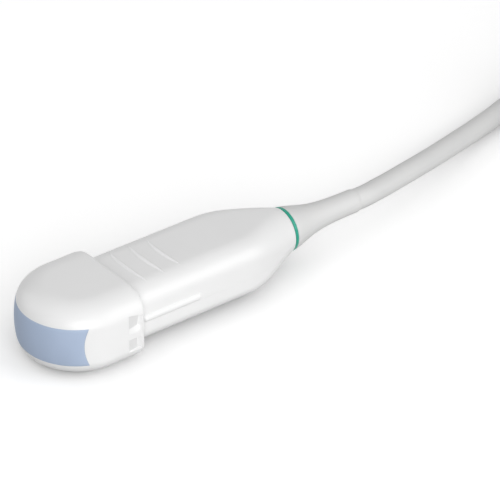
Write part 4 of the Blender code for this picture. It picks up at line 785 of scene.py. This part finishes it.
def handle_shell(name, level, stations, spread):
    """A shell with its details outside, a plain inside, and its ends and parting edges closed."""
    outside, inside = [], []
    rows = [(station, 0.0) for station in stations]
    for angle in (math.pi / 6, math.pi / 3, math.pi / 2):
        rows.append((LAST_ROW + END_ROUND * math.sin(angle), -END_ROUND * (1 - math.cos(angle))))
    for station, grow in rows:
        outline = shell_outline(station, grow, level, spread)
        x, z = outline[:, 0].copy(), outline[:, 1].copy()
        if station < BELLY_START:
            on_face = np.abs(x) < HANDLE_HALF_WIDTH - FACE_MARGIN
            z += level * crescent_rise(x, station) * on_face * ((z - MID_Z) * level > 0)
            if level > 0:
                x += np.sign(x) * rib_rise(z - MID_Z, station) * (np.abs(x) > HANDLE_HALF_WIDTH - SIDE_MARGIN)
        outside.append(np.stack([x, np.full(len(x), ARC_Y + station), z], 1))
        hollow = shell_outline(station, grow - HANDLE_WALL, level, spread)
        inside.append(np.stack([hollow[:, 0], np.full(len(x), ARC_Y + station), hollow[:, 1]], 1))
    return skin(name, walled(np.stack(outside), np.stack(inside)), moulded_abs)


upper_shell = handle_shell("handle_upper", 1, upper_stations, upper_spread)
lower_shell = handle_shell("handle_lower", -1, lower_stations, lower_spread)

# %% [markdown]
# ## Band and boot
#
# Both are turned shapes: a profile swept once round the probe's axis. The band is a thin ring whose colour
# tells one probe from another. The boot is moulded over the cable. It flares at its foot and thins to a lip
# that runs out on the cable, so that the cable can't kink where it leaves.

# %% Turned pieces
ROUND_STEPS = 96


def turned_net(profile, steps):
    """A closed profile of (radius, height), swept once round an upright axis."""
    profile = np.asarray([*profile, profile[0]], float)
    angles = np.linspace(0.0, 2 * math.pi, steps + 1)
    angles[-1] = 0.0
    radius, height = profile[:, :1], profile[:, 1:]
    return np.stack([radius * np.cos(angles), radius * np.sin(angles), height + 0 * angles], -1)


def placed(points, place):
    """Points in a piece's own millimetres, moved to where the piece lies."""
    return np.asarray(points, float) @ np.array(place.to_3x3()).T + np.array(place.translation)


def on_axis(name, profile, surface):
    """A piece turned about the probe's axis."""
    net = turned_net(profile, ROUND_STEPS)
    return skin(name, [np.stack([net[..., 0], ARC_Y + net[..., 2], MID_Z + net[..., 1]], -1)], surface)


def rounded_end(radius, height, rounding, direction, steps=4):
    """Profile points round an outer edge, from the side onto the end face."""
    found = []
    for step in range(steps + 1):
        angle = math.pi / 2 * step / steps
        back = rounding * (1 - math.sin(angle))
        found.append((radius - rounding * (1 - math.cos(angle)), height - direction * back))
    return found


# %% The coloured band
BAND_FRONT, BAND_REAR = 93.6, 94.84
BAND_BORE = 6.8
BAND_TAPER = 0.06
BAND_ROUND = 0.12
band_profile = [(BAND_BORE, BAND_FRONT)]
band_profile += rounded_end(NECK_RADIUS, BAND_FRONT, BAND_ROUND, -1)[::-1]
band_profile += rounded_end(NECK_RADIUS - BAND_TAPER, BAND_REAR, BAND_ROUND, 1)
band_profile += [(BAND_BORE, BAND_REAR)]
colour_band = on_axis("colour_band", band_profile, moulded_pbt)

# %% The flared boot
BOOT_START = 94.98
FLARE_START = 95.14
BOOT_BORE = CABLE_DIAMETER / 2 - 0.85
BOOT_BASE_RADIUS = 8.6
BOOT_BASE_ROUND = 0.25
BOOT_TIP_RADIUS = 4.6
BOOT_FLARE = 10.4
BOOT_FLARE_POWER = 1.5
BOOT_LIP = 2.0
LIP_END_RADIUS = CABLE_DIAMETER / 2 - 0.05
SPIGOT_START = 91.0
SPIGOT_RADIUS = 6.5
boot_profile = [(BOOT_BORE, SPIGOT_START), (SPIGOT_RADIUS, SPIGOT_START), (SPIGOT_RADIUS, BOOT_START)]
boot_profile += rounded_end(BOOT_BASE_RADIUS, BOOT_START, BOOT_BASE_ROUND, -1)[::-1]
for step in range(1, 49):
    along = (BOOT_END - BOOT_LIP - FLARE_START) * (step / 48) ** 1.1
    flare = (BOOT_BASE_RADIUS - BOOT_TIP_RADIUS) * math.exp(-(along / BOOT_FLARE) ** BOOT_FLARE_POWER)
    if along > BOOT_BASE_ROUND:
        boot_profile.append((BOOT_TIP_RADIUS + flare, FLARE_START + along))
for step in range(1, 11):
    fall = 0.5 - 0.5 * math.cos(math.pi * step / 10)
    lip_radius = BOOT_TIP_RADIUS - (BOOT_TIP_RADIUS - LIP_END_RADIUS) * fall
    boot_profile.append((lip_radius, BOOT_END - BOOT_LIP * (1 - step / 10)))
boot_profile += [(BOOT_BORE, BOOT_END)]
boot = on_axis("cable_boot", boot_profile, soft_boot)

# %% [markdown]
# ## Straps round the coil
#
# A stored cable is held by hook-and-loop straps: flat woven tape that goes once round the bundle and laps
# over itself. The tape is a band with thickness, whose line is the bundle's section, a little larger at the
# lap. Woven nylon scatters light between its threads, so it is matt and nearly black.

# %% Straps
STRAP_HALF_WIDTH = 7.0
STRAP_THICKNESS = 0.85
STRAP_LAP = 0.2
STRAP_START = 0.3
STRAP_CLEARANCE = 0.2
LAP_GAP = 0.05
STRAP_STEPS, STRAP_ACROSS = 150, 12
BUNDLE_MIDDLE = LOWEST_LAYER + CABLE_DIAMETER


def bundle_line(turned, grow):
    """A point of the bundle's rounded section at a share of its way round, as (radius, height)."""
    half_width = CABLE_DIAMETER + grow
    half_height = 1.5 * CABLE_DIAMETER + grow
    corner = 3.0 + grow
    arc = math.pi / 2 * corner
    sides = ((half_width, half_height - corner), (half_height, half_width - corner)) * 2
    distance = (turned % 1.0) * (sum(2 * flat + arc for _, flat in sides))
    for (reach, flat), (cos, sin) in zip(sides, ((1, 0), (0, 1), (-1, 0), (0, -1))):
        if distance <= 2 * flat + arc:
            angle = max(distance - 2 * flat, 0.0) / corner
            out = reach - corner + corner * math.cos(angle)
            along = min(distance - flat, flat) + corner * math.sin(angle)
            break
        distance -= 2 * flat + arc
    return cos * out - sin * along, sin * out + cos * along


def strap(name, side, surface):
    """A tape that starts on a run's top, goes once round it, and laps over its own start."""
    middle = NEAR_FOLD.y + COIL_RUN / 2
    places = [middle + STRAP_HALF_WIDTH * (2 * place / STRAP_ACROSS - 1) for place in range(STRAP_ACROSS + 1)]
    faces = ([], [])
    for step in range(STRAP_STEPS + 1):
        turned = (1 + STRAP_LAP) * step / STRAP_STEPS
        lift = (STRAP_THICKNESS + LAP_GAP) * float(smooth_step(turned, 0.93, 0.1))
        for face, extra in zip(faces, (STRAP_CLEARANCE, STRAP_CLEARANCE + STRAP_THICKNESS)):
            x, z = bundle_line(STRAP_START + turned, extra + lift)
            face.append([(NEAR_FOLD.x + side * (MEAN_RADIUS + x), y, BUNDLE_MIDDLE + z) for y in places])
    return skin(name, walled(np.array(faces[0]), np.array(faces[1])), surface)


woven_strap = grained_finish("woven_black_nylon", "#1E1F22", "#2B2C30", 0.85, 3.0, 0.8, 0.15)
straps = [strap(f"coil_strap_{number}", side, woven_strap) for number, side in ((1, -1), (2, 1))]

# %% [markdown]
# ## The system connector
#
# The connector has two halves, screwed together from above, with ribbed finger grips on its long sides. A
# large knob with a bar turns the locking shaft, and a ringed sleeve guides the cable out. The halves are grey
# ABS from a mould with a fine grain. The screws are turned stainless steel, a bright metal.
#
# The halves are built like the other shells: closed lines with the same number of points, laid over each
# other. Holes for screws and cable are the one place where a Boolean is simpler, because they cross the net
# at any angle.

# %% Lines and holes for the connector
PLUG_PLACE = Matrix.Translation((-14.593, 396.881, 0.0)) @ Matrix.Rotation(math.pi, 4, "Z")
LOCK_Y = -2.0
CABLE_LEVEL = 14.05
ROD_STEPS = 48
moulded_grey_abs = grained_finish("moulded_grey_abs", "#B9BBBE", "#C2C4C7", 0.42, 18.0, 0.5, 0.01, IOR=1.54)
turned_steel = grained_finish("turned_stainless_steel", "#B9B8B5", "#C6C5C2", 0.3, 3.0, 0.15, 0.003,
                              Metallic=1.0)


def rounded_line(half_x, half_y, corner, z, centre_y=0.0, steps=(40, 192, 14)):
    """A rounded rectangle as a closed line, counter-clockwise, its straight sides evenly divided."""
    steps_x, steps_y, steps_arc = steps
    flat_x, flat_y = half_x - corner, half_y - corner
    across = np.linspace(-1.0, 1.0, steps_x + 1)[:-1]
    along = np.linspace(-1.0, 1.0, steps_y + 1)[:-1]
    quarter = np.linspace(0.0, math.pi / 2, steps_arc + 1)[:-1]
    sides = ((half_x, flat_y, along), (half_y, flat_x, across)) * 2
    parts = []
    for turn, (reach, flat, values) in enumerate(sides):
        angle = turn * math.pi / 2
        side = np.stack([np.full(len(values), reach), values * flat], 1)
        arc = np.stack([reach - corner + corner * np.cos(quarter), flat + corner * np.sin(quarter)], 1)
        rotation = np.array([[math.cos(angle), math.sin(angle)], [-math.sin(angle), math.cos(angle)]])
        parts.append(np.concatenate([side, arc]) @ rotation)
    line = np.concatenate([*parts, parts[0][:1]])
    return np.column_stack([line[:, 0], line[:, 1] + centre_y, np.full(len(line), z)])


def onto_plug(points):
    """Points in the connector's own millimetres, moved to where it lies."""
    return placed(points, PLUG_PLACE)


def rods(name, places, profile, surface):
    """The same turned profile at several places of the connector, as one mesh of separate rods."""
    net = turned_net(profile, ROD_STEPS)
    return skin(name, [onto_plug(net + (x, y, 0.0)) for x, y in places], surface)


def along_cable(name, y, profile, surface):
    """A piece turned about the line on which the cable leaves the connector, from a place on that line."""
    axis = PLUG_PLACE @ Matrix.Translation((0.0, y, CABLE_LEVEL)) @ Matrix.Rotation(-math.pi / 2, 4, "X")
    return skin(name, [placed(turned_net(profile, ROUND_STEPS), axis)], surface)


def carve(item, tool, operation):
    """Joins a second mesh to an item or takes it away, keeps the outcome, and throws the second mesh away."""
    modifier = item.modifiers.new("carve", "BOOLEAN")
    modifier.operation = operation
    modifier.solver = "EXACT"
    modifier.object = tool
    bpy.context.view_layer.update()
    outcome = bpy.data.meshes.new_from_object(item.evaluated_get(bpy.context.evaluated_depsgraph_get()))
    item.modifiers.clear()
    item.data = outcome
    item.data.set_sharp_from_angle(angle=SHARP_EDGE)
    bpy.data.objects.remove(tool)


print("connector at", [round(v, 1) for v in PLUG_PLACE.translation])

# %% A half of the connector's housing
PLUG_HALF_X = 21.0
PLUG_HALF_Y = 31.0
PLUG_CORNER = 7.0
PLUG_WALL = 2.0
PARTING_CHAMFER = 0.25
GRIP_PITCH = 3.2
GRIP_REACH = 14.4
GRIP_DEPTH = 0.55
GRIP_FADE = 1.5
BUSHING_HOLE = 5.0
MOUTH_HALF_X = 12.3
MOUTH_HALF_Y = 19.3
MOUTH_CORNER = 2.3


def grip_groove(y, z, low, high):
    """Depth of the finger grip's grooves, which fade out at their upper and lower ends."""
    wave = np.clip(np.cos(2 * math.pi * y / GRIP_PITCH), 0.0, 1.0) ** 0.7
    ends = np.clip(min(z - low, high - z) / GRIP_FADE, 0.0, 1.0)
    return GRIP_DEPTH * wave * math.sqrt(ends * (2 - ends)) * (np.abs(y) < GRIP_REACH)


def connector_half(name, parting, face, rounding, opening, grip_end):
    """A half shell between its parting plane and its broad face, with an opening in the face."""
    direction = 1 if face > parting else -1
    levels = [(parting, PARTING_CHAMFER), (parting + direction * PARTING_CHAMFER, 0.0)]
    straight = np.arange(0.6, abs(face - parting) - rounding, 0.4)
    levels += [(parting + direction * step, 0.0) for step in straight]
    for angle in np.radians(np.linspace(0.0, 90.0, 9)):
        levels.append((face - direction * rounding * (1 - math.sin(angle)), rounding * (1 - math.cos(angle))))
    low, high = sorted((parting - direction, grip_end))
    rows = []
    for z, inset in levels:
        line = rounded_line(PLUG_HALF_X - inset, PLUG_HALF_Y - inset, PLUG_CORNER - inset, z)
        on_side = np.abs(line[:, 0]) > PLUG_HALF_X - inset - 0.01
        line[:, 0] -= np.sign(line[:, 0]) * on_side * grip_groove(line[:, 1], z, low, high)
        rows.append(line)
    inner_face = face - direction * PLUG_WALL
    inside = (PLUG_HALF_X - PLUG_WALL, PLUG_HALF_Y - PLUG_WALL, PLUG_CORNER - PLUG_WALL)
    rows += [opening(rows[-1], face), opening(rows[-1], inner_face)]
    rows += [rounded_line(*inside, inner_face), rounded_line(*inside, parting), rows[0]]
    return skin(name, [onto_plug(np.stack(rows))], moulded_grey_abs)


def round_opening(line, z):
    """The bushing's hole, one point for each point of a line round it."""
    bearing = np.arctan2(line[:, 1] - LOCK_Y, line[:, 0])
    x, y = BUSHING_HOLE * np.cos(bearing), LOCK_Y + BUSHING_HOLE * np.sin(bearing)
    return np.column_stack([x, y, np.full(len(line), z)])


def mating_opening(_, z):
    """The mouth for the metal frame of the contacts, the same whatever line lies round it."""
    return rounded_line(MOUTH_HALF_X, MOUTH_HALF_Y, MOUTH_CORNER, z, LOCK_Y)


# %% The two halves
COVER_PARTING, COVER_TOP = 14.2, 27.0
BASE_PARTING, BASE_BOTTOM = 13.9, 5.5
POST_RADIUS = 4.2
SCREW_PLACES = [(16.0, 26.0), (-16.0, 26.0), (-16.0, -26.0), (16.0, -26.0)]
cover_bore = ((0.0, 12.0), (1.5, 12.0), (1.5, 24.4), (2.7, 24.4), (2.7, 28.0), (0.0, 28.0))
base_bore = ((0.0, 10.2), (1.5, 10.2), (1.5, 16.0), (0.0, 16.0))
cable_entry = ((0.0, 0.0), (5.5, 0.0), (5.5, 8.0), (0.0, 8.0))
plug_cover = connector_half("connector_cover", COVER_PARTING, COVER_TOP, 3.0, round_opening, 22.5)
plug_base = connector_half("connector_base", BASE_PARTING, BASE_BOTTOM, 1.5, mating_opening, 7.8)
for shell, low, high, bore in ((plug_cover, COVER_PARTING, COVER_TOP - 1.0, cover_bore),
                               (plug_base, BASE_BOTTOM + 1.0, BASE_PARTING, base_bore)):
    post = ((0.0, low), (POST_RADIUS, low), (POST_RADIUS, high), (0.0, high))
    carve(shell, rods("posts", SCREW_PLACES, post, moulded_grey_abs), "UNION")
    carve(shell, rods("bores", SCREW_PLACES, bore, moulded_grey_abs), "DIFFERENCE")
    carve(shell, along_cable("entry", 26.0, cable_entry, moulded_grey_abs), "DIFFERENCE")
print("connector halves:", len(plug_cover.data.polygons), len(plug_base.data.polygons), "faces")

# %% Cover screws
SCREW_RADIUS = 1.2
SCREW_HEAD_RADIUS = 2.4
SCREW_HEAD_BASE = 24.7
SCREW_HEAD_RIM = 25.9
SCREW_DOME_WIDTH, SCREW_DOME_RISE = 0.9, 0.6
SLOT_HALF_WIDTH, SLOT_HALF_LENGTH, SLOT_CORNER = 0.35, 3.0, 0.1
SLOT_FLOOR, SLOT_TOP = 25.7, 27.0
screw_profile = [(0.0, 10.5), (SCREW_RADIUS, 10.7), (SCREW_RADIUS, SCREW_HEAD_BASE),
                 (SCREW_HEAD_RADIUS, SCREW_HEAD_BASE), (SCREW_HEAD_RADIUS, SCREW_HEAD_RIM)]
for angle in np.radians((15, 30, 45, 60, 75, 90)):
    screw_profile.append((SCREW_HEAD_RADIUS - SCREW_DOME_WIDTH * (1 - math.cos(angle)),
                          SCREW_HEAD_RIM + SCREW_DOME_RISE * math.sin(angle)))
screw_profile.append((0.0, SCREW_HEAD_RIM + SCREW_DOME_RISE))
slot_sides = np.stack([rounded_line(SLOT_HALF_WIDTH, SLOT_HALF_LENGTH, SLOT_CORNER, z, steps=(2, 2, 2))
                       for z in (SLOT_FLOOR, SLOT_TOP)])
slot_ends = [between(line, line * (0.0, 1.0, 1.0), 1) for line in slot_sides]
screws = []
for number, place in enumerate(SCREW_PLACES, start=1):
    screw = rods(f"cover_screw_head_{number}", [place], screw_profile, turned_steel)
    slot_grids = [onto_plug(grid + (*place, 0.0)) for grid in (slot_sides, *slot_ends)]
    carve(screw, skin("slot", slot_grids, turned_steel), "DIFFERENCE")
    screws.append(screw)

# %% Cable sleeve
RING_COUNT = 5
RING_PITCH = 4.32
RING_STEPS = 16
RING_RADIUS = 6.2
RING_TAPER = 1.3
RING_GROOVE = 0.7
RINGS_START = 2.4
sleeve_profile = [(3.2, -3.0), (5.2, -3.0), (5.2, 0.3), (6.8, 0.3), (7.2, 0.7), (7.2, 2.0), (6.8, 2.4)]
for step in range(1, RING_COUNT * RING_STEPS):
    ring, share = divmod(step / RING_STEPS, 1.0)
    radius = RING_RADIUS - RING_TAPER * ring / (RING_COUNT - 1)
    bulge = min(1.0, 1.25 * math.sin(math.pi * share) ** 0.6)
    sleeve_profile.append((radius - RING_GROOVE * (1 - bulge), RINGS_START + RING_PITCH * step / RING_STEPS))
sleeve_profile += [(4.3, 24.0), (4.3, 22.0), (3.2, 22.0)]
plug_sleeve = along_cable("connector_sleeve", PLUG_HALF_Y, sleeve_profile, soft_boot)

# %% The locking knob
KNOB_SCALLOPS = 24
STEPS_PER_SCALLOP = 12
SCALLOP_DEPTH = 0.45
BAR_HALF_WIDTH, BAR_HALF_LENGTH, BAR_CORNER = 3.6, 16.5, 3.5
BAR_TOP_START = 35.6
BAR_ROUND = 2.4
knob_profile = np.array([(0.0, 27.3), (2.9, 27.3), (12.4, 27.3), (12.8, 27.45), (13.0, 27.8), (13.0, 29.9),
                         (12.85, 30.4), (12.5, 30.85), (12.0, 31.15), (11.4, 31.3), (9.0, 31.3), (0.0, 31.3)])
angles = np.linspace(0.0, 2 * math.pi, STEPS_PER_SCALLOP * KNOB_SCALLOPS + 1)
angles[-1] = 0.0
scallop = SCALLOP_DEPTH * np.clip(np.cos(KNOB_SCALLOPS * angles), 0.0, 1.0) ** 0.6
at_rim = smooth_step(knob_profile[:, 0], 12.2, 0.8)[:, None]
knob_radius = knob_profile[:, :1] - at_rim * scallop
knob_disc = np.stack([knob_radius * np.cos(angles), LOCK_Y + knob_radius * np.sin(angles),
                      knob_profile[:, 1:] + 0 * angles], -1)
lock_knob = skin("locking_knob", [onto_plug(knob_disc)], moulded_grey_abs)
bar_levels = [(30.2, -0.6), (31.3, -0.6), (31.5, -0.25), (31.9, 0.0)]
bar_levels += [(z, 0.0) for z in (33.0, 34.0, 35.0, BAR_TOP_START)]
for angle in np.radians(np.linspace(10, 90, 9)):
    bar_levels.append((BAR_TOP_START + BAR_ROUND * math.sin(angle), BAR_ROUND * (1 - math.cos(angle))))
bar_rows = [rounded_line(BAR_HALF_WIDTH - inset, BAR_HALF_LENGTH - inset, max(BAR_CORNER - inset, 0.6), z,
                         LOCK_Y, (4, 60, 10)) for z, inset in bar_levels]
bar_rows = [bar_rows[0] * (0.0, 1.0, 1.0), *bar_rows, bar_rows[-1] * (0.0, 1.0, 1.0)]
bar = skin("knob_bar", [onto_plug(np.stack(bar_rows))], moulded_grey_abs)
carve(lock_knob, bar, "UNION")
print("knob:", len(lock_knob.data.polygons), "faces")

# %% [markdown]
# ## Finishes for the parts that keep their solids
#
# The parts inside the probe and the connector are seen only when it is taken apart, but each has a real
# finish. Filled epoxy and ground graphite are near black and matt. Fired piezo ceramic is a warm, chalky
# white. Laminated polyimide is amber with a gloss, and solder mask is a glossy green. Brass and tinned braid
# are metals, so their colour is in their reflection.

# %% Finishes inside the probe and in the connector
# Each row: slot, finish, two colours, roughness, drift, grain and relief in mm, and other sockets.
INNER_FINISHES = (
    ("matching_epoxy", "filled_epoxy", "#34363B", "#3E4148", 0.5, 4.0, 0.2, 0.004, {}),
    ("matching_graphite", "ground_graphite", "#2B2B2C", "#38383A", 0.6, 2.0, 0.15, 0.006, {}),
    ("piezo_ceramic", "fired_pzt_ceramic", "#D2C9AE", "#DED6BE", 0.55, 3.0, 0.1, 0.004, {}),
    ("backing_epoxy", "tungsten_filled_epoxy", "#29292B", "#343437", 0.75, 5.0, 0.3, 0.02, {}),
    ("dark_plastic", "moulded_black_pps", "#26272A", "#303135", 0.45, 9.0, 0.3, 0.008, {}),
    ("flex_polyimide", "laminated_polyimide", "#B5701F", "#C9842E", 0.35, 6.0, 0.6, 0.004, {"IOR": 1.65}),
    ("seal_rubber", "moulded_silicone_rubber", "#6E7074", "#7A7C80", 0.75, 5.0, 0.25, 0.01, {"IOR": 1.41}),
    ("board_green", "solder_masked_board", "#15633A", "#1C7445", 0.38, 5.0, 0.4, 0.01, {"IOR": 1.55}),
    ("brass", "turned_brass", "#C9A052", "#D8B066", 0.3, 3.0, 0.15, 0.003, {"Metallic": 1.0}),
    ("copper_braid", "tinned_copper_braid", "#C08A66", "#D09A78", 0.42, 1.0, 0.5, 0.1, {"Metallic": 1.0}),
)
inner_finishes = {"steel": turned_steel, "cable_grey": soft_boot, "grey_plastic": moulded_grey_abs}
for slot_name, *finish_values, sockets in INNER_FINISHES:
    inner_finishes[slot_name] = grained_finish(*finish_values, **sockets)
dressed = 0
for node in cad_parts.values():
    for material_slot in node.material_slots:
        found = material_slot.material.name.split(".")[0]
        if found in inner_finishes:
            material_slot.material = inner_finishes[found]
            dressed += 1
print("solids with a finish of their own:", dressed)
cable.data.materials.append(extruded_jacket)

# %% [markdown]
# ## Floor, world and lamps
#
# The picture is taken on a white sweep under soft light: a large softbox close beside the camera, a weaker
# one at the right and a faint one at the left. The floor is a sheet of paper. To the camera, and in
# reflections, it is lifted to plain white, and the lift fades where the object stands close, which paints a
# soft contact shadow round it. To the light that bounces about it is a mid grey, or it would light
# the object's underside as brightly as its top.

# %% Floor
SHADOW_REACH = 16.0
FLOOR_LIFT = 0.34
FLOOR_HALF = 4.0


def seen_rays(tree):
    """1 for camera, glossy and transmission rays, and 0 for the light that bounces about."""
    rays = add_node(tree, "ShaderNodeLightPath")
    seen = rays.outputs["Is Camera Ray"]
    for kind in ("Is Glossy Ray", "Is Transmission Ray"):
        either = add_node(tree, "ShaderNodeMath", {"operation": "MAXIMUM"}, {0: seen, 1: rays.outputs[kind]})
        seen = either.outputs[0]
    return seen


def white_sheet():
    """A diffuse sheet with some light of its own for camera and glossy rays, dimmed near the object as
    painted contact shadow.
    """
    finish = bpy.data.materials.new("white_paper_sweep")
    finish.use_nodes = True
    tree = finish.node_tree
    tree.nodes.clear()
    seen = seen_rays(tree)
    # The occlusion fades the sheet's own light near the object: a painted contact shadow.
    open_sky = add_node(tree, "ShaderNodeAmbientOcclusion", {"samples": 16}, {"Distance": SHADOW_REACH * MM})
    lift = add_node(tree, "ShaderNodeMath", {"operation": "MULTIPLY"}, {0: seen, 1: open_sky.outputs["AO"]})
    strength = add_node(tree, "ShaderNodeMath", {"operation": "MULTIPLY"},
                        {0: lift.outputs[0], 1: FLOOR_LIFT})
    tone = add_node(tree, "ShaderNodeMix", {"data_type": "RGBA"},
                    {"Factor": seen, 6: linear("#A6A6A6"), 7: linear("#F2F2F2")})
    diffuse = add_node(tree, "ShaderNodeBsdfDiffuse", inputs={"Color": tone.outputs[2]})
    glow = add_node(tree, "ShaderNodeEmission", inputs={"Strength": strength.outputs[0]})
    both = add_node(tree, "ShaderNodeAddShader", inputs={0: diffuse.outputs[0], 1: glow.outputs[0]})
    add_node(tree, "ShaderNodeOutputMaterial", inputs={"Surface": both.outputs[0]})
    return finish


floor_mesh = bpy.data.meshes.new("floor")
corners = [(x * FLOOR_HALF, y * FLOOR_HALF, 0) for x, y in ((-1, -1), (1, -1), (1, 1), (-1, 1))]
floor_mesh.from_pydata(corners, [], [(0, 1, 2, 3)])
floor_mesh.materials.append(white_sheet())
floor = into_scene("floor", floor_mesh)
print("floor:", 2 * FLOOR_HALF, "m wide")

# %% World and lamps
WORLD_LIGHT = 0.42
LAMP_TARGET = Vector((0.0, 0.02, 0.01))
LAMP_DISTANCE = 1.2
LAMP_SIZE = 0.9
world = bpy.data.worlds.new("white_room")
bpy.context.scene.world = world
world.use_nodes = True
background = world.node_tree.nodes["Background"]
background.inputs["Color"].default_value = (1.0, 1.0, 1.0, 1.0)
level = add_node(world.node_tree, "ShaderNodeMapRange",
                 inputs={"Value": seen_rays(world.node_tree), "To Min": WORLD_LIGHT, "To Max": 1.0})
world.node_tree.links.new(level.outputs["Result"], background.inputs["Strength"])


def softbox(name, azimuth, elevation, power):
    """A square area lamp that looks at the probe from a direction in degrees."""
    lamp = bpy.data.lights.new(name, "AREA")
    lamp.shape = "SQUARE"
    lamp.size = LAMP_SIZE
    lamp.energy = power
    item = into_scene(name, lamp)
    towards_lamp = camera_frame(math.radians(azimuth), math.radians(elevation))[2]
    item.location = LAMP_TARGET + LAMP_DISTANCE * towards_lamp
    item.rotation_euler = towards_lamp.to_track_quat("Z", "Y").to_euler()
    print(f"{name}: {power} W at {[round(v, 2) for v in item.location]}")


softbox("key_softbox", 62.0, 20.0, 10.4)
softbox("side_softbox", 130.0, 28.0, 4.6)
softbox("left_softbox", 300.0, 30.0, 2.4)
bpy.context.scene.view_settings.view_transform = "Standard"

# %% [markdown]
# ## What each piece stands for
#
# The last step ties the pieces to the frame: what each one rides on and which solid it stands for, which is
# hidden. The table also lists the finish of the record for each piece. The cable rides on the probe, and the
# solids of its lead, coil and tail are hidden.

# %% Tie the pieces to the frame
stands_for = (
    (head_shell, "head_shell", "white_plastic"),
    (window_lens, "acoustic_lens", "lens_silicone"),
    (upper_shell, "handle_upper_shell", "white_plastic"),
    (lower_shell, "handle_lower_shell", "white_plastic"),
    (colour_band, "colour_ring", "teal_plastic"),
    (boot, "strain_relief", "cable_grey"),
    (straps[0], "coil_tie_1", "tie_fabric"),
    (straps[1], "coil_tie_2", "tie_fabric"),
    (plug_cover, "plug_cover", "grey_plastic"),
    (plug_base, "plug_base", "grey_plastic"),
    (plug_sleeve, "plug_strain_relief", "cable_grey"),
    (lock_knob, "lock_knob", "grey_plastic"),
    *[(screw, f"cover_screw_{number}", "steel") for number, screw in enumerate(screws, start=1)],
)
for piece, node, slot_name in stands_for:
    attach(piece, "lock" if piece == lock_knob else "probe")
    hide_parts(node)
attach(cable, "probe")
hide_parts("cable_lead", "cable_coil", "cable_tail")
PLUG_NODES = ["mating_frame", "contact_block", "plug_board", "plug_wires", "plug_clamp", "lock_shaft",
              "lock_bushing", "lock_clip"]
plug_pieces = [plug_cover, plug_base, plug_sleeve, lock_knob, *screws]
plug_pieces += [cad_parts[name] for name in PLUG_NODES]
